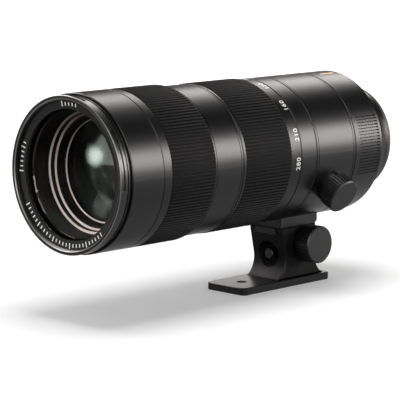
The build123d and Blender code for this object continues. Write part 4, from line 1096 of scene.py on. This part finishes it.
def through_glass(tree, path, inside):
    """Share of the background seen behind glass: all at first sight, less after a bounce."""
    bounced = calculation(tree, "ADD", path.outputs["Diffuse Depth"], path.outputs["Glossy Depth"])
    first = calculation(tree, "LESS_THAN", bounced, HALF_BOUNCE)
    plain = calculation(tree, "LESS_THAN", path.outputs["Glossy Depth"], HALF_BOUNCE)
    level = calculation(tree, "MULTIPLY_ADD", plain, INSIDE_DIFFUSE, inside)
    share = calculation(tree, "MAXIMUM", first, level)
    return calculation(tree, "MULTIPLY", path.outputs["Is Transmission Ray"], share)


def add_world():
    """White background for the camera, dimmer for reflections and for fill light."""
    world = bpy.data.worlds.new("studio")
    bpy.context.scene.world = world
    world.use_nodes = True
    tree = world.node_tree
    background = tree.nodes["Background"]
    background.inputs["Color"].default_value = (1.0, 1.0, 1.0, 1.0)
    path = tree.nodes.new("ShaderNodeLightPath")
    way = tree.nodes.new("ShaderNodeTexCoord")
    parts = tree.nodes.new("ShaderNodeSeparateXYZ")
    tree.links.new(way.outputs["Generated"], parts.inputs[0])
    fade = fade_along(tree, parts.outputs["Z"], HORIZON_FADE, (HORIZON_GLOSS, CEILING_GLOSS))
    rear = fade_along(tree, parts.outputs["Y"], FRONT_FADE, (FRONT_SHARE, 1.0))
    gloss = calculation(tree, "MULTIPLY", path.outputs["Is Glossy Ray"], fade)
    gloss = calculation(tree, "MULTIPLY", gloss, rear)
    plain = calculation(tree, "MULTIPLY", path.outputs["Is Diffuse Ray"], WORLD_DIFFUSE)
    seen = calculation(tree, "MAXIMUM", path.outputs["Is Camera Ray"],
                       through_glass(tree, path, WORLD_INSIDE))
    strength = calculation(tree, "MAXIMUM", calculation(tree, "MAXIMUM", gloss, plain), seen)
    tree.links.new(strength, background.inputs["Strength"])


def add_floor():
    """Pale paper under the foot, as bright as the background far away."""
    low = cad_box[0][2]
    half = FLOOR_SIZE / 2
    corners = [(-half, -half, low), (half, -half, low), (half, half, low), (-half, half, low)]
    mesh = bpy.data.meshes.new("paper_floor")
    mesh.from_pydata(corners, [], [(0, 1, 2, 3)])
    floor = in_scene("paper_floor", mesh)
    material = bpy.data.materials.new("white_paper")
    material.use_nodes = True
    tree = material.node_tree
    principled = tree.nodes["Principled BSDF"]
    principled.inputs["Roughness"].default_value = FLOOR_ROUGHNESS
    principled.inputs["Specular IOR Level"].default_value = FLOOR_SPECULAR
    path = tree.nodes.new("ShaderNodeLightPath")
    place = tree.nodes.new("ShaderNodeTexCoord").outputs["Object"]
    parts = tree.nodes.new("ShaderNodeSeparateXYZ")
    tree.links.new(place, parts.inputs[0])
    ahead = fade_along(tree, parts.outputs["Y"], FLOOR_FRONT_FADE, (1.0, 0.0))
    bounced = calculation(tree, "GREATER_THAN", path.outputs["Glossy Depth"], HALF_BOUNCE)
    hidden = calculation(tree, "MULTIPLY", ahead, bounced)
    tree.links.new(mixed(tree, hidden, FLOOR_COLOUR, (0.0, 0.0, 0.0)),
                   principled.inputs["Base Color"])
    mirrored = calculation(tree, "MULTIPLY", path.outputs["Is Glossy Ray"], FLOOR_GLOSS_SHARE)
    mirrored = calculation(tree, "MULTIPLY", mirrored,
                           calculation(tree, "SUBTRACT", 1.0, hidden))
    seen = calculation(tree, "MAXIMUM", path.outputs["Is Camera Ray"], mirrored)
    seen = calculation(tree, "MAXIMUM", seen, through_glass(tree, path, 0.0))
    reach = tree.nodes.new("ShaderNodeVectorMath")
    reach.operation = "LENGTH"
    tree.links.new(place, reach.inputs[0])
    far = fade_along(tree, reach.outputs["Value"], FAR_LIFT_ENDS, (FLOOR_LIFT, FAR_LIFT))
    lift = calculation(tree, "MULTIPLY", seen, far)
    principled.inputs["Emission Color"].default_value = (1.0, 1.0, 1.0, 1.0)
    tree.links.new(lift, principled.inputs["Emission Strength"])
    floor.data.materials.append(material)


bpy.context.scene.view_settings.view_transform = "Standard"
add_camera()
add_lamps()
add_world()
add_floor()
finish_nodes()
add_grips()
add_marks()
add_panel_shade()
add_recess_painted_shade()
add_foot_joint()
add_filter_thread()
add_name_ring_marks()
add_rim_edges()
add_lenses()
add_cell_edges()
add_hood_dot()
add_screws()
